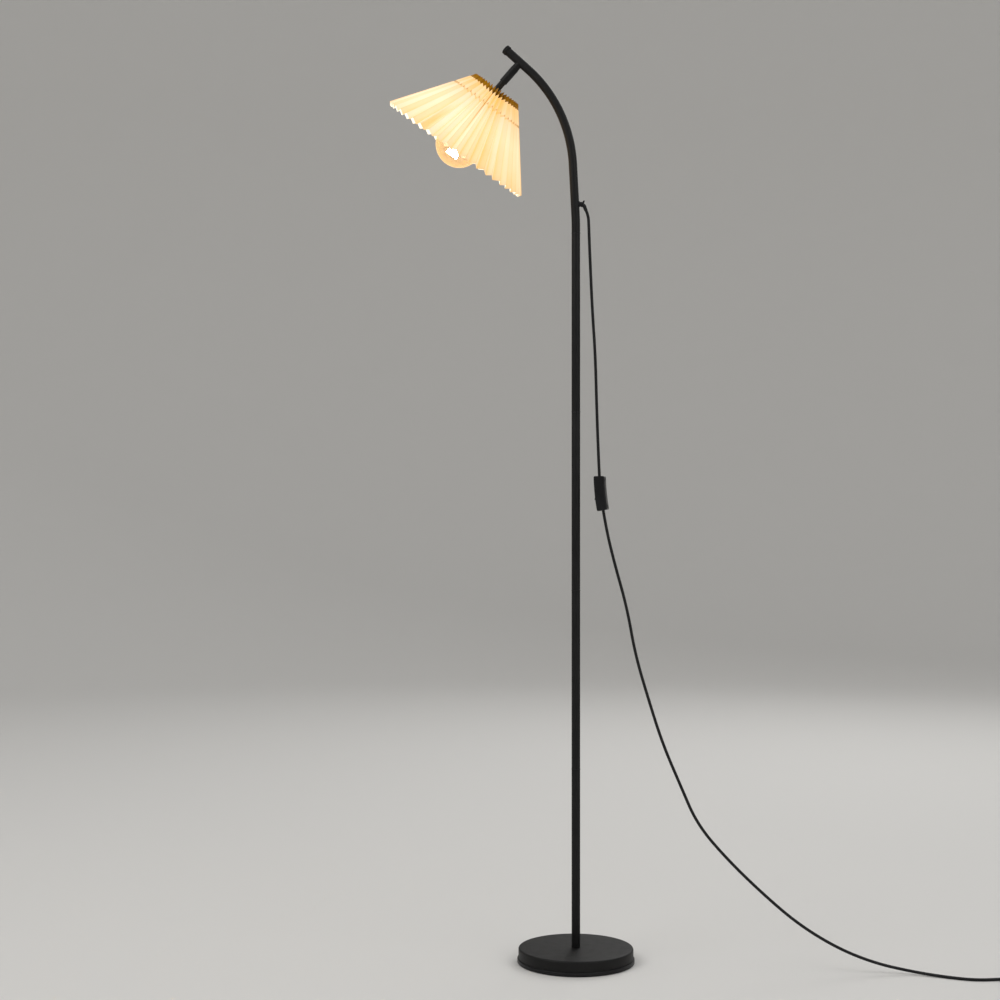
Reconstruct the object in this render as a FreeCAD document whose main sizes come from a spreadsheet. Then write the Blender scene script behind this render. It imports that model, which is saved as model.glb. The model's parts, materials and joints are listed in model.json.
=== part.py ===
import FreeCAD, Part
import math
import os
import Sketcher

# Floor lamp with a screwed pole, an arched arm and a pleated shade, in millimetres.
# The origin is on the floor under the pole, +Z is up and the arm reaches towards -X.

doc = FreeCAD.newDocument("FloorLamp")
size = doc.addObject("Spreadsheet::Sheet", "size")

SIZES = (
    ("fit_clearance", 0.05, "radial play of a pressed or screwed fit"),
    ("overrun", 2, "how far a cutting tool runs past the face it cuts"),
    ("pad_margin", 1, "felt pad, edge inside the trim's lip"),
    ("pad_thickness", 2, "felt pad under the base"),
    ("plate_gap", 1.5, "steel plate, edge inside the cover"),
    ("plate_thickness", 1.5, "steel plate that closes the base"),
    ("skirt_overhang", 2, "trim, how far it stands out of the cover"),
    ("skirt_top", 7.2, "top of the trim above the floor"),
    ("skirt_lift", 0.8, "trim's lower face above the floor"),
    ("skirt_lip", 3, "how far the trim reaches under the plate"),
    ("skirt_edge", 1.4, "rounding of the trim's upper edge"),
    ("cover_radius", 96.5, "pressed steel cover"),
    ("cover_wall", 1, "pressed steel cover"),
    ("cover_edge", 3, "rounding of the cover's upper edge"),
    ("cover_seat", 4.5, "cover's lower edge above the floor"),
    ("base_height", 25, "top of the cover above the floor"),
    ("weight_gap", 2.5, "cast iron weight, edge inside the cover"),
    ("weight_thickness", 14, "cast iron weight"),
    ("weight_chamfer", 2, "cast iron weight"),
    ("boss_radius", 20, "boss of the weight under the pole"),
    ("recess_radius", 14, "recess for the nut under the weight"),
    ("recess_depth", 10, "recess for the nut under the weight"),
    ("stud_radius", 5, "threaded studs of the pole"),
    ("stud_length", 16, "stud above a seat"),
    ("stud_tail", 1.2, "stud below the nut"),
    ("washer_radius", 11, "washer under the weight"),
    ("washer_thickness", 1.6, "washer under the weight"),
    ("nut_width", 16, "nut under the weight, across flats"),
    ("nut_height", 6, "nut under the weight"),
    ("tube_radius", 7.2, "pole and arm tube"),
    ("tube_wall", 1, "pole and arm tube"),
    ("section_pitch", 300, "one pole section with its collar"),
    ("collar_height", 1.6, "collar between two sections"),
    ("collar_lip", 0.4, "how far a collar stands out of the tube"),
    ("insert_length", 22, "threaded insert in the foot of a tube"),
    ("plug_length", 20, "coupler's plug in the head of a tube"),
    ("arm_foot", 12, "upright foot of the arm"),
    ("arm_lean", 3, "degrees that the arm leans above its foot"),
    ("lean_radius", 300, "gentle bend above the foot"),
    ("arm_rise", 87, "straight run up to the arch"),
    ("arch_radius", 240, "arch of the arm"),
    ("arch_angle", 44, "degrees of the arch"),
    ("arm_tail", 48.4, "straight end of the arm"),
    ("cap_radius", 8.2, "end cap of the arm"),
    ("cap_length", 6.6, "end cap of the arm"),
    ("cap_edge", 1.1, "end cap of the arm"),
    ("cap_plug", 10, "end cap of the arm, inside the tube"),
    ("exit_height", 47.6, "cord exit above the arm's foot"),
    ("exit_radius", 4, "hole for the cord bush"),
    ("bush_flange", 5, "cord bush, radius of its flange"),
    ("bush_lip", 1.2, "cord bush, thickness of its flange"),
    ("bush_root", 3.9, "cord bush, radius at the flange"),
    ("bush_tip", 2.9, "cord bush, radius at its tip"),
    ("bush_inside", 4.7, "cord bush, length inside the tube"),
    ("bush_bend", 8, "cord bush, radius of its bend"),
    ("bush_turn", 70, "cord bush, degrees of its bend"),
    ("bush_tail", 7, "cord bush, straight end after its bend"),
    ("tie_wall", 0.9, "cable tie round the bush"),
    ("tie_width", 2.6, "cable tie round the bush"),
    ("tie_head", 3.6, "cable tie's lock"),
    ("tie_tail", 5, "cable tie's cut end"),
    ("tie_turn", 22, "degrees along the bush where the tie sits"),
    ("lead_radius", 2, "lead inside the arm"),
    ("lead_offset", 2, "lead off the arm's axis, on the inner side"),
    ("lead_bend", 5, "lead's bend into the neck"),
    ("lead_pickup", 4.5, "lead's bend out of the bush"),
    ("neck_setback", 28.9, "neck axis before the end of the arm tube"),
    ("neck_drop", 57, "tilt pivot below the arm's axis"),
    ("neck_bore", 3.2, "way for the lead through the neck"),
    ("stub_radius", 6.45, "stub under the arm"),
    ("stub_reach", 12.4, "stub's lower face below the arm's axis"),
    ("stub_thread", 12, "stub's thread in the barrel"),
    ("barrel_radius", 6.8, "neck barrel"),
    ("barrel_length", 31.8, "neck barrel"),
    ("barrel_chamfer", 0.8, "neck barrel"),
    ("ball_radius", 5.5, "ball end of the barrel's fork"),
    ("slot_width", 4.4, "slot of the fork"),
    ("slot_top", 6, "slot of the fork above the pivot"),
    ("screw_radius", 1.5, "tilt screw"),
    ("screw_head_radius", 2.7, "tilt screw"),
    ("screw_head_height", 1.8, "tilt screw"),
    ("spot_radius", 3.4, "flat on each ear for the screw"),
    ("spot_half", 4.6, "flat on each ear, from the middle plane"),
    ("tilt_nut_width", 5.5, "nut of the tilt screw, across flats"),
    ("tilt_nut_height", 2.4, "nut of the tilt screw"),
    ("head_tilt", 36.3, "degrees of the shade's axis from upright"),
    ("tongue_thickness", 4.2, "tongue between the ears"),
    ("tongue_radius", 4.6, "tongue between the ears"),
    ("shoulder_drop", 6.2, "shoulder of the tongue below the pivot"),
    ("shoulder_height", 2.5, "shoulder of the tongue"),
    ("shoulder_radius", 6.5, "shoulder of the tongue"),
    ("spigot_length", 13, "threaded spigot in the holder cap"),
    ("spigot_bore", 2.6, "way for the lead through the spigot"),
    ("holder_radius", 19.5, "lamp holder"),
    ("holder_wall", 2, "lamp holder"),
    ("cap_shoulder", 10.5, "flat top of the holder cap"),
    ("cap_slope", 11, "height of the holder cap's slope"),
    ("holder_cap_height", 19.3, "holder cap"),
    ("cap_rounding", 4, "holder cap"),
    ("holder_flange", 21.5, "shoulder that carries the shade"),
    ("holder_flange_height", 3, "shoulder that carries the shade"),
    ("holder_length", 34, "holder body"),
    ("holder_lip", 1.2, "inner lip at the holder's mouth"),
    ("core_drop", 0.5, "insulating core below the cap's edge"),
    ("core_height", 5.5, "insulating core"),
    ("shell_radius", 13.7, "threaded contact shell"),
    ("shell_wall", 0.5, "threaded contact shell"),
    ("shell_length", 26, "threaded contact shell"),
    ("shell_eye", 8, "opening in the shell's floor"),
    ("contact_radius", 2.5, "centre contact"),
    ("contact_height", 1.6, "centre contact"),
    ("contact_gap", 0.3, "bulb contact to centre contact"),
    ("hub_radius", 25.5, "carrier's hub"),
    ("hub_thickness", 2, "carrier's hub and spokes"),
    ("spoke_width", 5, "carrier's spokes"),
    ("carrier_wire", 1.5, "radius of the carrier's ring wire"),
    ("ring_press", 0.15, "how far the carrier ring presses into the inner folds"),
    ("ring_flange", 27, "shade ring"),
    ("ring_flange_height", 3, "shade ring"),
    ("ring_radius", 22.8, "shade ring's sleeve"),
    ("ring_height", 9, "shade ring"),
    ("notch_radius", 2, "finger notches round the shade ring"),
    ("crown_drop", 1.7, "shade's crown below the pivot"),
    ("shade_height", 122.3, "shade along its axis"),
    ("crown_radius", 43.7, "outer folds at the crown"),
    ("crown_depth", 12.8, "depth of the folds at the crown"),
    ("mouth_radius", 136.6, "outer folds at the mouth"),
    ("mouth_depth", 9.1, "depth of the folds at the mouth"),
    ("fold_lag", 5.6, "inner folds' ends below the outer folds' ends"),
    ("paper_thickness", 0.6, "folded shade sheet with its lining"),
    ("thread_radius", 0.5, "gathering threads"),
    ("upper_thread_drop", 6, "upper thread below the crown"),
    ("globe_radius", 40.3, "glass globe"),
    ("globe_drop", 113.5, "centre of the globe below the pivot"),
    ("glass_wall", 0.8, "glass globe"),
    ("bulb_neck_radius", 13.2, "glass neck in the cap"),
    ("bulb_neck_overlap", 2, "glass neck in the cap"),
    ("bulb_cap_radius", 12.9, "screw cap of the bulb"),
    ("bulb_cap_wall", 0.6, "screw cap of the bulb"),
    ("bulb_cap_length", 21, "screw cap of the bulb"),
    ("bulb_rim_radius", 14.1, "flared rim of the bulb's cap"),
    ("bulb_rim_height", 1.2, "flared rim of the bulb's cap"),
    ("insulator_height", 4, "glass insulator of the cap"),
    ("insulator_base", 11.6, "glass insulator of the cap"),
    ("bulb_contact_radius", 4.2, "bulb's centre contact"),
    ("bulb_contact_height", 1.2, "bulb's centre contact"),
    ("stem_root", 9, "glass stem, at the neck"),
    ("stem_waist", 4.2, "glass stem, above its flare"),
    ("stem_tip", 2.6, "glass stem, at its tip"),
    ("stem_flare", 12, "length of the stem's flare"),
    ("stem_length", 52, "glass stem"),
    ("filament_radius", 1.4, "light-emitting rods"),
    ("filament_length", 30, "light-emitting rods"),
    ("filament_inner", 4, "rods' near ends off the axis"),
    ("filament_spread", 12, "degrees between a rod and the axis"),
    ("switch_x", 42.2, "inline switch, centre"),
    ("switch_z", 787.3, "inline switch, centre"),
    ("switch_tilt", 5.7, "degrees of the switch from upright"),
    ("switch_length", 57.6, "inline switch"),
    ("switch_width", 22, "inline switch"),
    ("switch_depth", 18.4, "inline switch"),
    ("switch_arch", 370, "radius of the switch's arched back"),
    ("switch_wall", 1.8, "walls of the switch"),
    ("switch_end", 5, "solid ends of the switch"),
    ("switch_edge", 2.8, "rounding of the switch's outer edges"),
    ("rocker_length", 22, "rocker of the switch"),
    ("rocker_width", 11, "rocker of the switch"),
    ("rocker_play", 0.8, "gap round the rocker"),
    ("rocker_stand", 0.5, "rocker's ends above the casing"),
    ("rocker_dish", 1.1, "hollow in the rocker's face"),
    ("rocker_depth", 4.6, "rocker's pivot below the casing"),
    ("rocker_foot", 2.4, "rocker below its pivot"),
    ("rocker_foot_half", 3.2, "half length of the rocker's foot"),
    ("rocker_swing", 5.5, "degrees of the rocker each side of level"),
    ("pin_radius", 1.2, "rocker's pin"),
    ("strip_width", 4, "contact strips in the switch"),
    ("strip_length", 13, "contact strips in the switch"),
    ("strip_thickness", 0.8, "contact strips in the switch"),
    ("strip_place", 14, "contact strips from the middle"),
    ("strip_press", 0.15, "how far the contact strips sit in the back shell"),
    ("switch_screw_radius", 1.4, "casing screws of the switch"),
    ("switch_screw_head", 2.7, "casing screws of the switch"),
    ("switch_screw_sink", 1.6, "casing screws of the switch"),
    ("switch_screw_length", 12, "casing screws of the switch"),
    ("switch_screw_place", 22.8, "casing screws from the middle"),
    ("cord_radius", 2.5, "mains cord"),
    ("coil_radius", 28, "put-away coil, middle of the turns"),
    ("coil_half", 6.75, "put-away coil, half of the bundle"),
    ("coil_rounding", 4.4, "put-away coil, edges of the bundle"),
    ("coil_x", 733, "put-away coil, centre"),
    ("coil_y", 11.5, "put-away coil, centre"),
    ("coil_tie_wall", 0.8, "strap round the coil"),
    ("coil_tie_width", 9, "strap round the coil"),
    ("plug_x", 780, "plug, centre of its cord entry"),
    ("plug_y", 46, "plug, centre of its cord entry"),
    ("plug_lift", 7, "plug's axis above the floor"),
    ("plug_body_length", 34, "plug"),
    ("plug_root", 4.6, "plug, half width at the cord"),
    ("plug_face_half", 6.8, "plug, half thickness at the pins"),
    ("plug_face_width", 13.2, "plug, half width at the pins"),
    ("plug_nose", 14, "plug, length of its tapered part"),
    ("plug_edge", 2.4, "plug, rounding of its long edges"),
    ("pin_spacing", 19, "plug pins"),
    ("plug_pin_radius", 2, "plug pins"),
    ("plug_pin_length", 19, "plug pins"),
)
for row, (alias, number, note) in enumerate(SIZES, start=1):
    size.set(f"A{row}", alias)
    size.set(f"B{row}", str(number))
    size.set(f"C{row}", note)
    size.setAlias(f"B{row}", alias)
doc.recompute()

SECTION_COUNT = 4
PLEAT_COUNT = 45
SPOKE_COUNT = 3
FILAMENT_COUNT = 8
NOTCH_COUNT = 12
LOWER_THREAD_SHARE = 0.25
ARC_SHARE = 0.45
TOLERANCE = 1e-6
RIGHT_ANGLE = 90
HEX_SHARES = ((1, 0), (0.5, 0.866025), (-0.5, 0.866025), (-1, 0), (-0.5, -0.866025), (0.5, -0.866025))
UP = FreeCAD.Vector(0, 0, 1)
ALONG_X = FreeCAD.Vector(1, 0, 0)
ALONG_Y = FreeCAD.Vector(0, 1, 0)
pieces = []


# Helpers that draw, turn and place the pieces

def vector(x, y, z):
    return FreeCAD.Vector(x, y, z)


def place_at(point, turn=0.0, axis=ALONG_Y):
    return FreeCAD.Placement(point, FreeCAD.Rotation(axis, turn))


def attached_sketch(body, role):
    plane = next(feature for feature in body.Origin.OriginFeatures if feature.Role == role)
    sketch = body.newObject("Sketcher::SketchObject", body.Name + "_sketch")
    sketch.AttachmentSupport = [(plane, "")]
    sketch.MapMode = "FlatFace"
    return sketch


def outline(body, role, corners):
    """Closed outline of straight edges: each corner's two places are bound to the sheet."""
    sketch = attached_sketch(body, role)
    count = len(corners)
    start = [vector(index + 1, (index * index) % 7 + 1, 0) for index in range(count)]
    sketch.addGeometry([Part.LineSegment(start[i], start[(i + 1) % count]) for i in range(count)], False)
    sketch.addConstraint([Sketcher.Constraint("Coincident", i, 2, (i + 1) % count, 1) for i in range(count)])
    for index, (across, along) in enumerate(corners):
        for kind, text in (("DistanceX", across), ("DistanceY", along)):
            number = sketch.addConstraint(Sketcher.Constraint(kind, -1, 1, index, 1, 1.0))
            sketch.setExpression(f"Constraints[{number}]", text)
    return sketch


def new_body(name, placement=None):
    body = doc.addObject("PartDesign::Body", name)
    body.Label = name
    if placement is not None:
        body.Placement = placement
    return body


def turned(name, corners, placement=None):
    """Solid of revolution: corners are (radius, height) pairs in the body's own frame."""
    body = new_body(name, placement)
    sketch = outline(body, "XZ_Plane", corners)
    feature = body.newObject("PartDesign::Revolution", name + "_turning")
    feature.Profile = sketch
    feature.ReferenceAxis = (sketch, ["V_Axis"])
    feature.Angle = 360.0
    doc.recompute()
    return body, sketch


def soften(body, sketch, corner_numbers, radius_text, kind="Fillet"):
    """Fillet or chamfer on the ring edges that the outline's corners make."""
    base = body.Tip
    names = []
    for number in corner_numbers:
        corner = sketch.Geometry[number].StartPoint
        for index, edge in enumerate(base.Shape.Edges, start=1):
            curve = edge.Curve
            if curve.TypeId != "Part::GeomCircle":
                continue
            same_radius = math.isclose(curve.Radius, corner.x, abs_tol=TOLERANCE)
            if same_radius and math.isclose(curve.Center.z, corner.y, abs_tol=TOLERANCE):
                names.append(f"Edge{index}")
    feature = body.newObject("PartDesign::" + kind, body.Name + "_edge")
    feature.Base = (base, names)
    feature.setExpression("Radius" if kind == "Fillet" else "Size", radius_text)
    doc.recompute()


def padded(body, sketch, length_text, symmetric=False):
    feature = body.newObject("PartDesign::Pad", body.Name + "_pad")
    feature.Profile = sketch
    feature.Type = "Length"
    if symmetric:
        feature.SideType = "Symmetric"
    feature.setExpression("Length", length_text)
    doc.recompute()
    return feature


def keep(item, name):
    item.Label = name
    pieces.append(item)


def part_solid(name, shape, placement=None):
    feature = doc.addObject("Part::Feature", name)
    feature.Shape = shape
    if placement is not None:
        feature.Placement = placement
    keep(feature, name)


def cylinder(name, radius_text, height_text, placement):
    item = doc.addObject("Part::Cylinder", name)
    item.setExpression("Radius", radius_text)
    item.setExpression("Height", height_text)
    item.Placement = placement
    return item


def joined(name, items):
    fuse = doc.addObject("Part::MultiFuse", name)
    fuse.Shapes = items
    return fuse


def cut_from(name, base, tool):
    cut = doc.addObject("Part::Cut", name)
    cut.Base = base
    cut.Tool = tool
    return cut


def hexagon(name, width_text, height_text, bore_text, placement):
    """Nut: hexagonal pad with its bore cut through."""
    body = new_body(name, placement)
    corner = f"({width_text}) / sqrt(3)"
    sketch = outline(body, "XY_Plane", [(f"{corner} * {a}", f"{corner} * {b}") for a, b in HEX_SHARES])
    padded(body, sketch, height_text)
    hole = attached_sketch(body, "XY_Plane")
    hole.addGeometry(Part.Circle(vector(0, 0, 0), UP, 1.0), False)
    hole.addConstraint(Sketcher.Constraint("Coincident", 0, 3, -1, 1))
    number = hole.addConstraint(Sketcher.Constraint("Radius", 0, 1.0))
    hole.setExpression(f"Constraints[{number}]", bore_text)
    pocket = body.newObject("PartDesign::Pocket", name + "_bore")
    pocket.Profile = hole
    pocket.Type = "ThroughAll"
    pocket.SideType = "Symmetric"
    doc.recompute()
    return body


# Base: felt pad, steel plate, trim, cast weight, pressed cover, stud, washer and nut

COVER_BORE = "size.cover_radius - size.cover_wall"
PLATE_RADIUS = f"{COVER_BORE} - size.plate_gap"
WEIGHT_RADIUS = f"{COVER_BORE} - size.weight_gap"
SKIRT_RADIUS = "size.cover_radius + size.skirt_overhang"
LIP_RADIUS = f"{PLATE_RADIUS} - size.skirt_lip"
PAD_RADIUS = f"{LIP_RADIUS} - size.pad_margin"
PLATE_TOP = "size.pad_thickness + size.plate_thickness"
RECESS_TOP = f"{PLATE_TOP} + size.recess_depth"
WEIGHT_TOP = f"{PLATE_TOP} + size.weight_thickness"
TUBE_BORE = "size.tube_radius - size.tube_wall"
STUD_HOLE = "size.stud_radius + size.fit_clearance"
NUT_SEAT = f"{RECESS_TOP} - size.washer_thickness - size.nut_height"


def make_base():
    body, _ = turned("base_pad", (
        ("0", "0"),
        (PAD_RADIUS, "0"),
        (PAD_RADIUS, "size.pad_thickness"),
        ("0", "size.pad_thickness"),
    ))
    keep(body, "base_pad")

    body, _ = turned("base_plate", (
        ("size.recess_radius", "size.pad_thickness"),
        (PLATE_RADIUS, "size.pad_thickness"),
        (PLATE_RADIUS, PLATE_TOP),
        ("size.recess_radius", PLATE_TOP),
    ))
    keep(body, "base_plate")

    body, sketch = turned("base_skirt", (
        (LIP_RADIUS, "size.skirt_lift"),
        (SKIRT_RADIUS, "size.skirt_lift"),
        (SKIRT_RADIUS, "size.skirt_top"),
        ("size.cover_radius + size.fit_clearance", "size.skirt_top"),
        ("size.cover_radius + size.fit_clearance", "size.cover_seat"),
        (f"{PLATE_RADIUS} + size.fit_clearance", "size.cover_seat"),
        (f"{PLATE_RADIUS} + size.fit_clearance", "size.pad_thickness"),
        (LIP_RADIUS, "size.pad_thickness"),
    ))
    soften(body, sketch, (2,), "size.skirt_edge")
    keep(body, "base_skirt")

    cover_bottom = "size.base_height - size.cover_wall"
    body, sketch = turned("base_weight", (
        ("size.recess_radius", PLATE_TOP),
        (WEIGHT_RADIUS, PLATE_TOP),
        (WEIGHT_RADIUS, WEIGHT_TOP),
        ("size.boss_radius", WEIGHT_TOP),
        ("size.boss_radius", cover_bottom),
        (STUD_HOLE, cover_bottom),
        (STUD_HOLE, RECESS_TOP),
        ("size.recess_radius", RECESS_TOP),
    ))
    soften(body, sketch, (2,), "size.weight_chamfer", "Chamfer")
    keep(body, "base_weight")

    body, sketch = turned("base_cover", (
        (STUD_HOLE, "size.base_height"),
        ("size.cover_radius", "size.base_height"),
        ("size.cover_radius", "size.cover_seat"),
        (COVER_BORE, "size.cover_seat"),
        (COVER_BORE, cover_bottom),
        (STUD_HOLE, cover_bottom),
    ))
    soften(body, sketch, (1,), "size.cover_edge")
    soften(body, sketch, (4,), "size.cover_edge - size.cover_wall")
    keep(body, "base_cover")

    body, _ = turned("base_stud", (
        ("0", f"{NUT_SEAT} - size.stud_tail"),
        ("size.stud_radius", f"{NUT_SEAT} - size.stud_tail"),
        ("size.stud_radius", "size.base_height + size.stud_length"),
        ("0", "size.base_height + size.stud_length"),
    ))
    keep(body, "base_stud")

    body, _ = turned("base_washer", (
        (STUD_HOLE, f"{RECESS_TOP} - size.washer_thickness"),
        ("size.washer_radius", f"{RECESS_TOP} - size.washer_thickness"),
        ("size.washer_radius", RECESS_TOP),
        (STUD_HOLE, RECESS_TOP),
    ))
    keep(body, "base_washer")

    seat = (size.pad_thickness + size.plate_thickness + size.recess_depth
            - size.washer_thickness - size.nut_height)
    body = hexagon("base_nut", "size.nut_width", "size.nut_height", STUD_HOLE, place_at(vector(0, 0, seat)))
    keep(body, "base_nut")


# Pole: equal sections, each with a threaded insert in its foot and a coupler in its head

def tube_insert(name, placement, length_text):
    body, _ = turned(name, (
        (STUD_HOLE, "0"),
        (f"{TUBE_BORE} - size.fit_clearance", "0"),
        (f"{TUBE_BORE} - size.fit_clearance", length_text),
        (STUD_HOLE, length_text),
    ), placement)
    keep(body, name)


def make_pole():
    plug = f"{TUBE_BORE} - size.fit_clearance"
    collar = "size.tube_radius + size.collar_lip"
    for number in range(SECTION_COUNT):
        foot = place_at(vector(0, 0, size.base_height + number * size.section_pitch))
        name = f"pole_section_{number + 1}"
        body, _ = turned(name, (
            (TUBE_BORE, "0"),
            ("size.tube_radius", "0"),
            ("size.tube_radius", "size.section_pitch - size.collar_height"),
            (TUBE_BORE, "size.section_pitch - size.collar_height"),
        ), foot)
        keep(body, name)
        tube_insert(f"pole_insert_{number + 1}", foot, "size.insert_length")
        head = size.base_height + (number + 1) * size.section_pitch - size.collar_height
        name = f"pole_coupler_{number + 1}"
        body, sketch = turned(name, (
            ("0", "-size.plug_length"),
            (plug, "-size.plug_length"),
            (plug, "0"),
            (collar, "0"),
            (collar, "size.collar_height"),
            ("size.stud_radius", "size.collar_height"),
            ("size.stud_radius", "size.collar_height + size.stud_length"),
            ("0", "size.collar_height + size.stud_length"),
        ), place_at(vector(0, 0, head)))
        soften(body, sketch, (3, 4), "size.collar_lip / 2", "Chamfer")
        keep(body, name)


# Arm: one bent tube, followed by the lead inside it

def arm_stations(offset):
    """Corners and arc middles of a line at an offset from the arm's axis, in the arm's own frame."""
    lean = math.radians(size.arm_lean)
    total = lean + math.radians(size.arch_angle)
    lean_centre = vector(-size.lean_radius, 0, size.arm_foot)

    def on_circle(centre, radius, angle):
        return centre + vector(math.cos(angle), 0, math.sin(angle)) * (radius - offset)

    lean_start = on_circle(lean_centre, size.lean_radius, 0)
    lean_middle = on_circle(lean_centre, size.lean_radius, lean / 2)
    lean_end = on_circle(lean_centre, size.lean_radius, lean)
    rise = vector(-math.sin(lean), 0, math.cos(lean))
    arch_start = lean_end + rise * size.arm_rise
    arch_centre = arch_start - vector(math.cos(lean), 0, math.sin(lean)) * (size.arch_radius - offset)
    arch_middle = on_circle(arch_centre, size.arch_radius, (lean + total) / 2)
    arch_end = on_circle(arch_centre, size.arch_radius, total)
    reach = vector(-math.sin(total), 0, math.cos(total))
    return {
        "lean_start": lean_start, "lean_middle": lean_middle, "lean_end": lean_end, "rise": rise,
        "arch_start": arch_start, "arch_middle": arch_middle, "arch_end": arch_end,
        "reach": reach, "under": vector(-math.cos(total), 0, -math.sin(total)),
        "out": vector(math.cos(lean), 0, math.sin(lean)),
    }


ARM_FOOT = vector(0, 0, size.base_height + SECTION_COUNT * size.section_pitch)
AXIS = arm_stations(0)
TOTAL_LEAN = size.arm_lean + size.arch_angle
ARM_END = ARM_FOOT + AXIS["arch_end"] + AXIS["reach"] * size.arm_tail
NECK_ROOT = ARM_END - AXIS["reach"] * size.neck_setback
PIVOT = NECK_ROOT + AXIS["under"] * size.neck_drop
EXIT_ALONG = (size.exit_height - AXIS["lean_end"].z) / AXIS["rise"].z
EXIT_POINT = ARM_FOOT + AXIS["lean_end"] + AXIS["rise"] * EXIT_ALONG
NECK_FRAME = place_at(PIVOT, RIGHT_ANGLE - TOTAL_LEAN)
HEAD_FRAME = place_at(PIVOT, size.head_tilt)


def frame_of(point, z_direction):
    """Placement whose own Z lies along a direction in the lamp's middle plane."""
    return place_at(point, math.degrees(math.atan2(z_direction.x, z_direction.z)))


def make_arm():
    body = new_body("arm_bend", place_at(ARM_FOOT))
    spine = attached_sketch(body, "XZ_Plane")
    lean = math.radians(size.arm_lean)
    total = math.radians(TOTAL_LEAN)
    flat = {key: vector(point.x, point.z, 0) for key, point in AXIS.items()}
    tail_end = flat["arch_end"] + flat["reach"] * size.arm_tail
    lean_centre = vector(-size.lean_radius, size.arm_foot, 0)
    arch_centre = flat["arch_start"] - flat["out"] * size.arch_radius
    spine.addGeometry([
        Part.LineSegment(vector(0, 0, 0), flat["lean_start"]),
        Part.ArcOfCircle(Part.Circle(lean_centre, UP, size.lean_radius), 0, lean),
        Part.LineSegment(flat["lean_end"], flat["arch_start"]),
        Part.ArcOfCircle(Part.Circle(arch_centre, UP, size.arch_radius), lean, total),
        Part.LineSegment(flat["arch_end"], tail_end),
    ], False)
    spine.addConstraint([
        Sketcher.Constraint("Coincident", 0, 1, -1, 1),
        Sketcher.Constraint("Vertical", 0),
        Sketcher.Constraint("Tangent", 0, 2, 1, 1),
        Sketcher.Constraint("Tangent", 1, 2, 2, 1),
        Sketcher.Constraint("Tangent", 2, 2, 3, 1),
        Sketcher.Constraint("Tangent", 3, 2, 4, 1),
    ])
    for kind, where, text, start in (
        ("Distance", (0,), "size.arm_foot", size.arm_foot),
        ("Distance", (2,), "size.arm_rise", size.arm_rise),
        ("Distance", (4,), "size.arm_tail", size.arm_tail),
        ("Radius", (1,), "size.lean_radius", size.lean_radius),
        ("Radius", (3,), "size.arch_radius", size.arch_radius),
        ("Angle", (1,), "size.arm_lean", lean),
        ("Angle", (3,), "size.arch_angle", total - lean),
    ):
        number = spine.addConstraint(Sketcher.Constraint(kind, *where, start))
        spine.setExpression(f"Constraints[{number}]", text)
    profile = attached_sketch(body, "XY_Plane")
    for index, text in enumerate(("size.tube_radius", TUBE_BORE)):
        profile.addGeometry(Part.Circle(vector(0, 0, 0), UP, size.tube_radius - index), False)
        profile.addConstraint(Sketcher.Constraint("Coincident", index, 3, -1, 1))
        number = profile.addConstraint(Sketcher.Constraint("Radius", index, size.tube_radius - index))
        profile.setExpression(f"Constraints[{number}]", text)
    doc.recompute()
    pipe = body.newObject("PartDesign::AdditivePipe", "arm_pipe")
    pipe.Profile = profile
    pipe.Spine = (spine, [])
    doc.recompute()
    cord_hole = cylinder("arm_cord_hole", "size.exit_radius", "size.tube_radius + size.overrun",
                         frame_of(EXIT_POINT, AXIS["out"]))
    neck_hole = cylinder("arm_neck_hole", STUD_HOLE, "size.tube_radius + size.overrun",
                         frame_of(NECK_ROOT, AXIS["under"]))
    keep(cut_from("arm_tube", body, joined("arm_holes", [cord_hole, neck_hole])), "arm_tube")

    tube_insert("arm_insert", place_at(ARM_FOOT), "size.arm_foot")

    plug = f"{TUBE_BORE} - size.fit_clearance"
    body, sketch = turned("arm_end_cap", (
        ("0", "-size.cap_plug"),
        (plug, "-size.cap_plug"),
        (plug, "0"),
        ("size.cap_radius", "0"),
        ("size.cap_radius", "size.cap_length"),
        ("0", "size.cap_length"),
    ), frame_of(ARM_END, AXIS["reach"]))
    soften(body, sketch, (4,), "size.cap_edge")
    keep(body, "arm_end_cap")


def bush_station(angle):
    """Point and direction on the bush's bend, at an angle from the tube's side."""
    start = EXIT_POINT + AXIS["out"] * (size.tube_radius + size.bush_lip)
    down = -AXIS["rise"]
    turn = math.radians(angle)
    point = start + (AXIS["out"] * math.sin(turn) + down * (1 - math.cos(turn))) * size.bush_bend
    return point, AXIS["out"] * math.cos(turn) + down * math.sin(turn)


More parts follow.
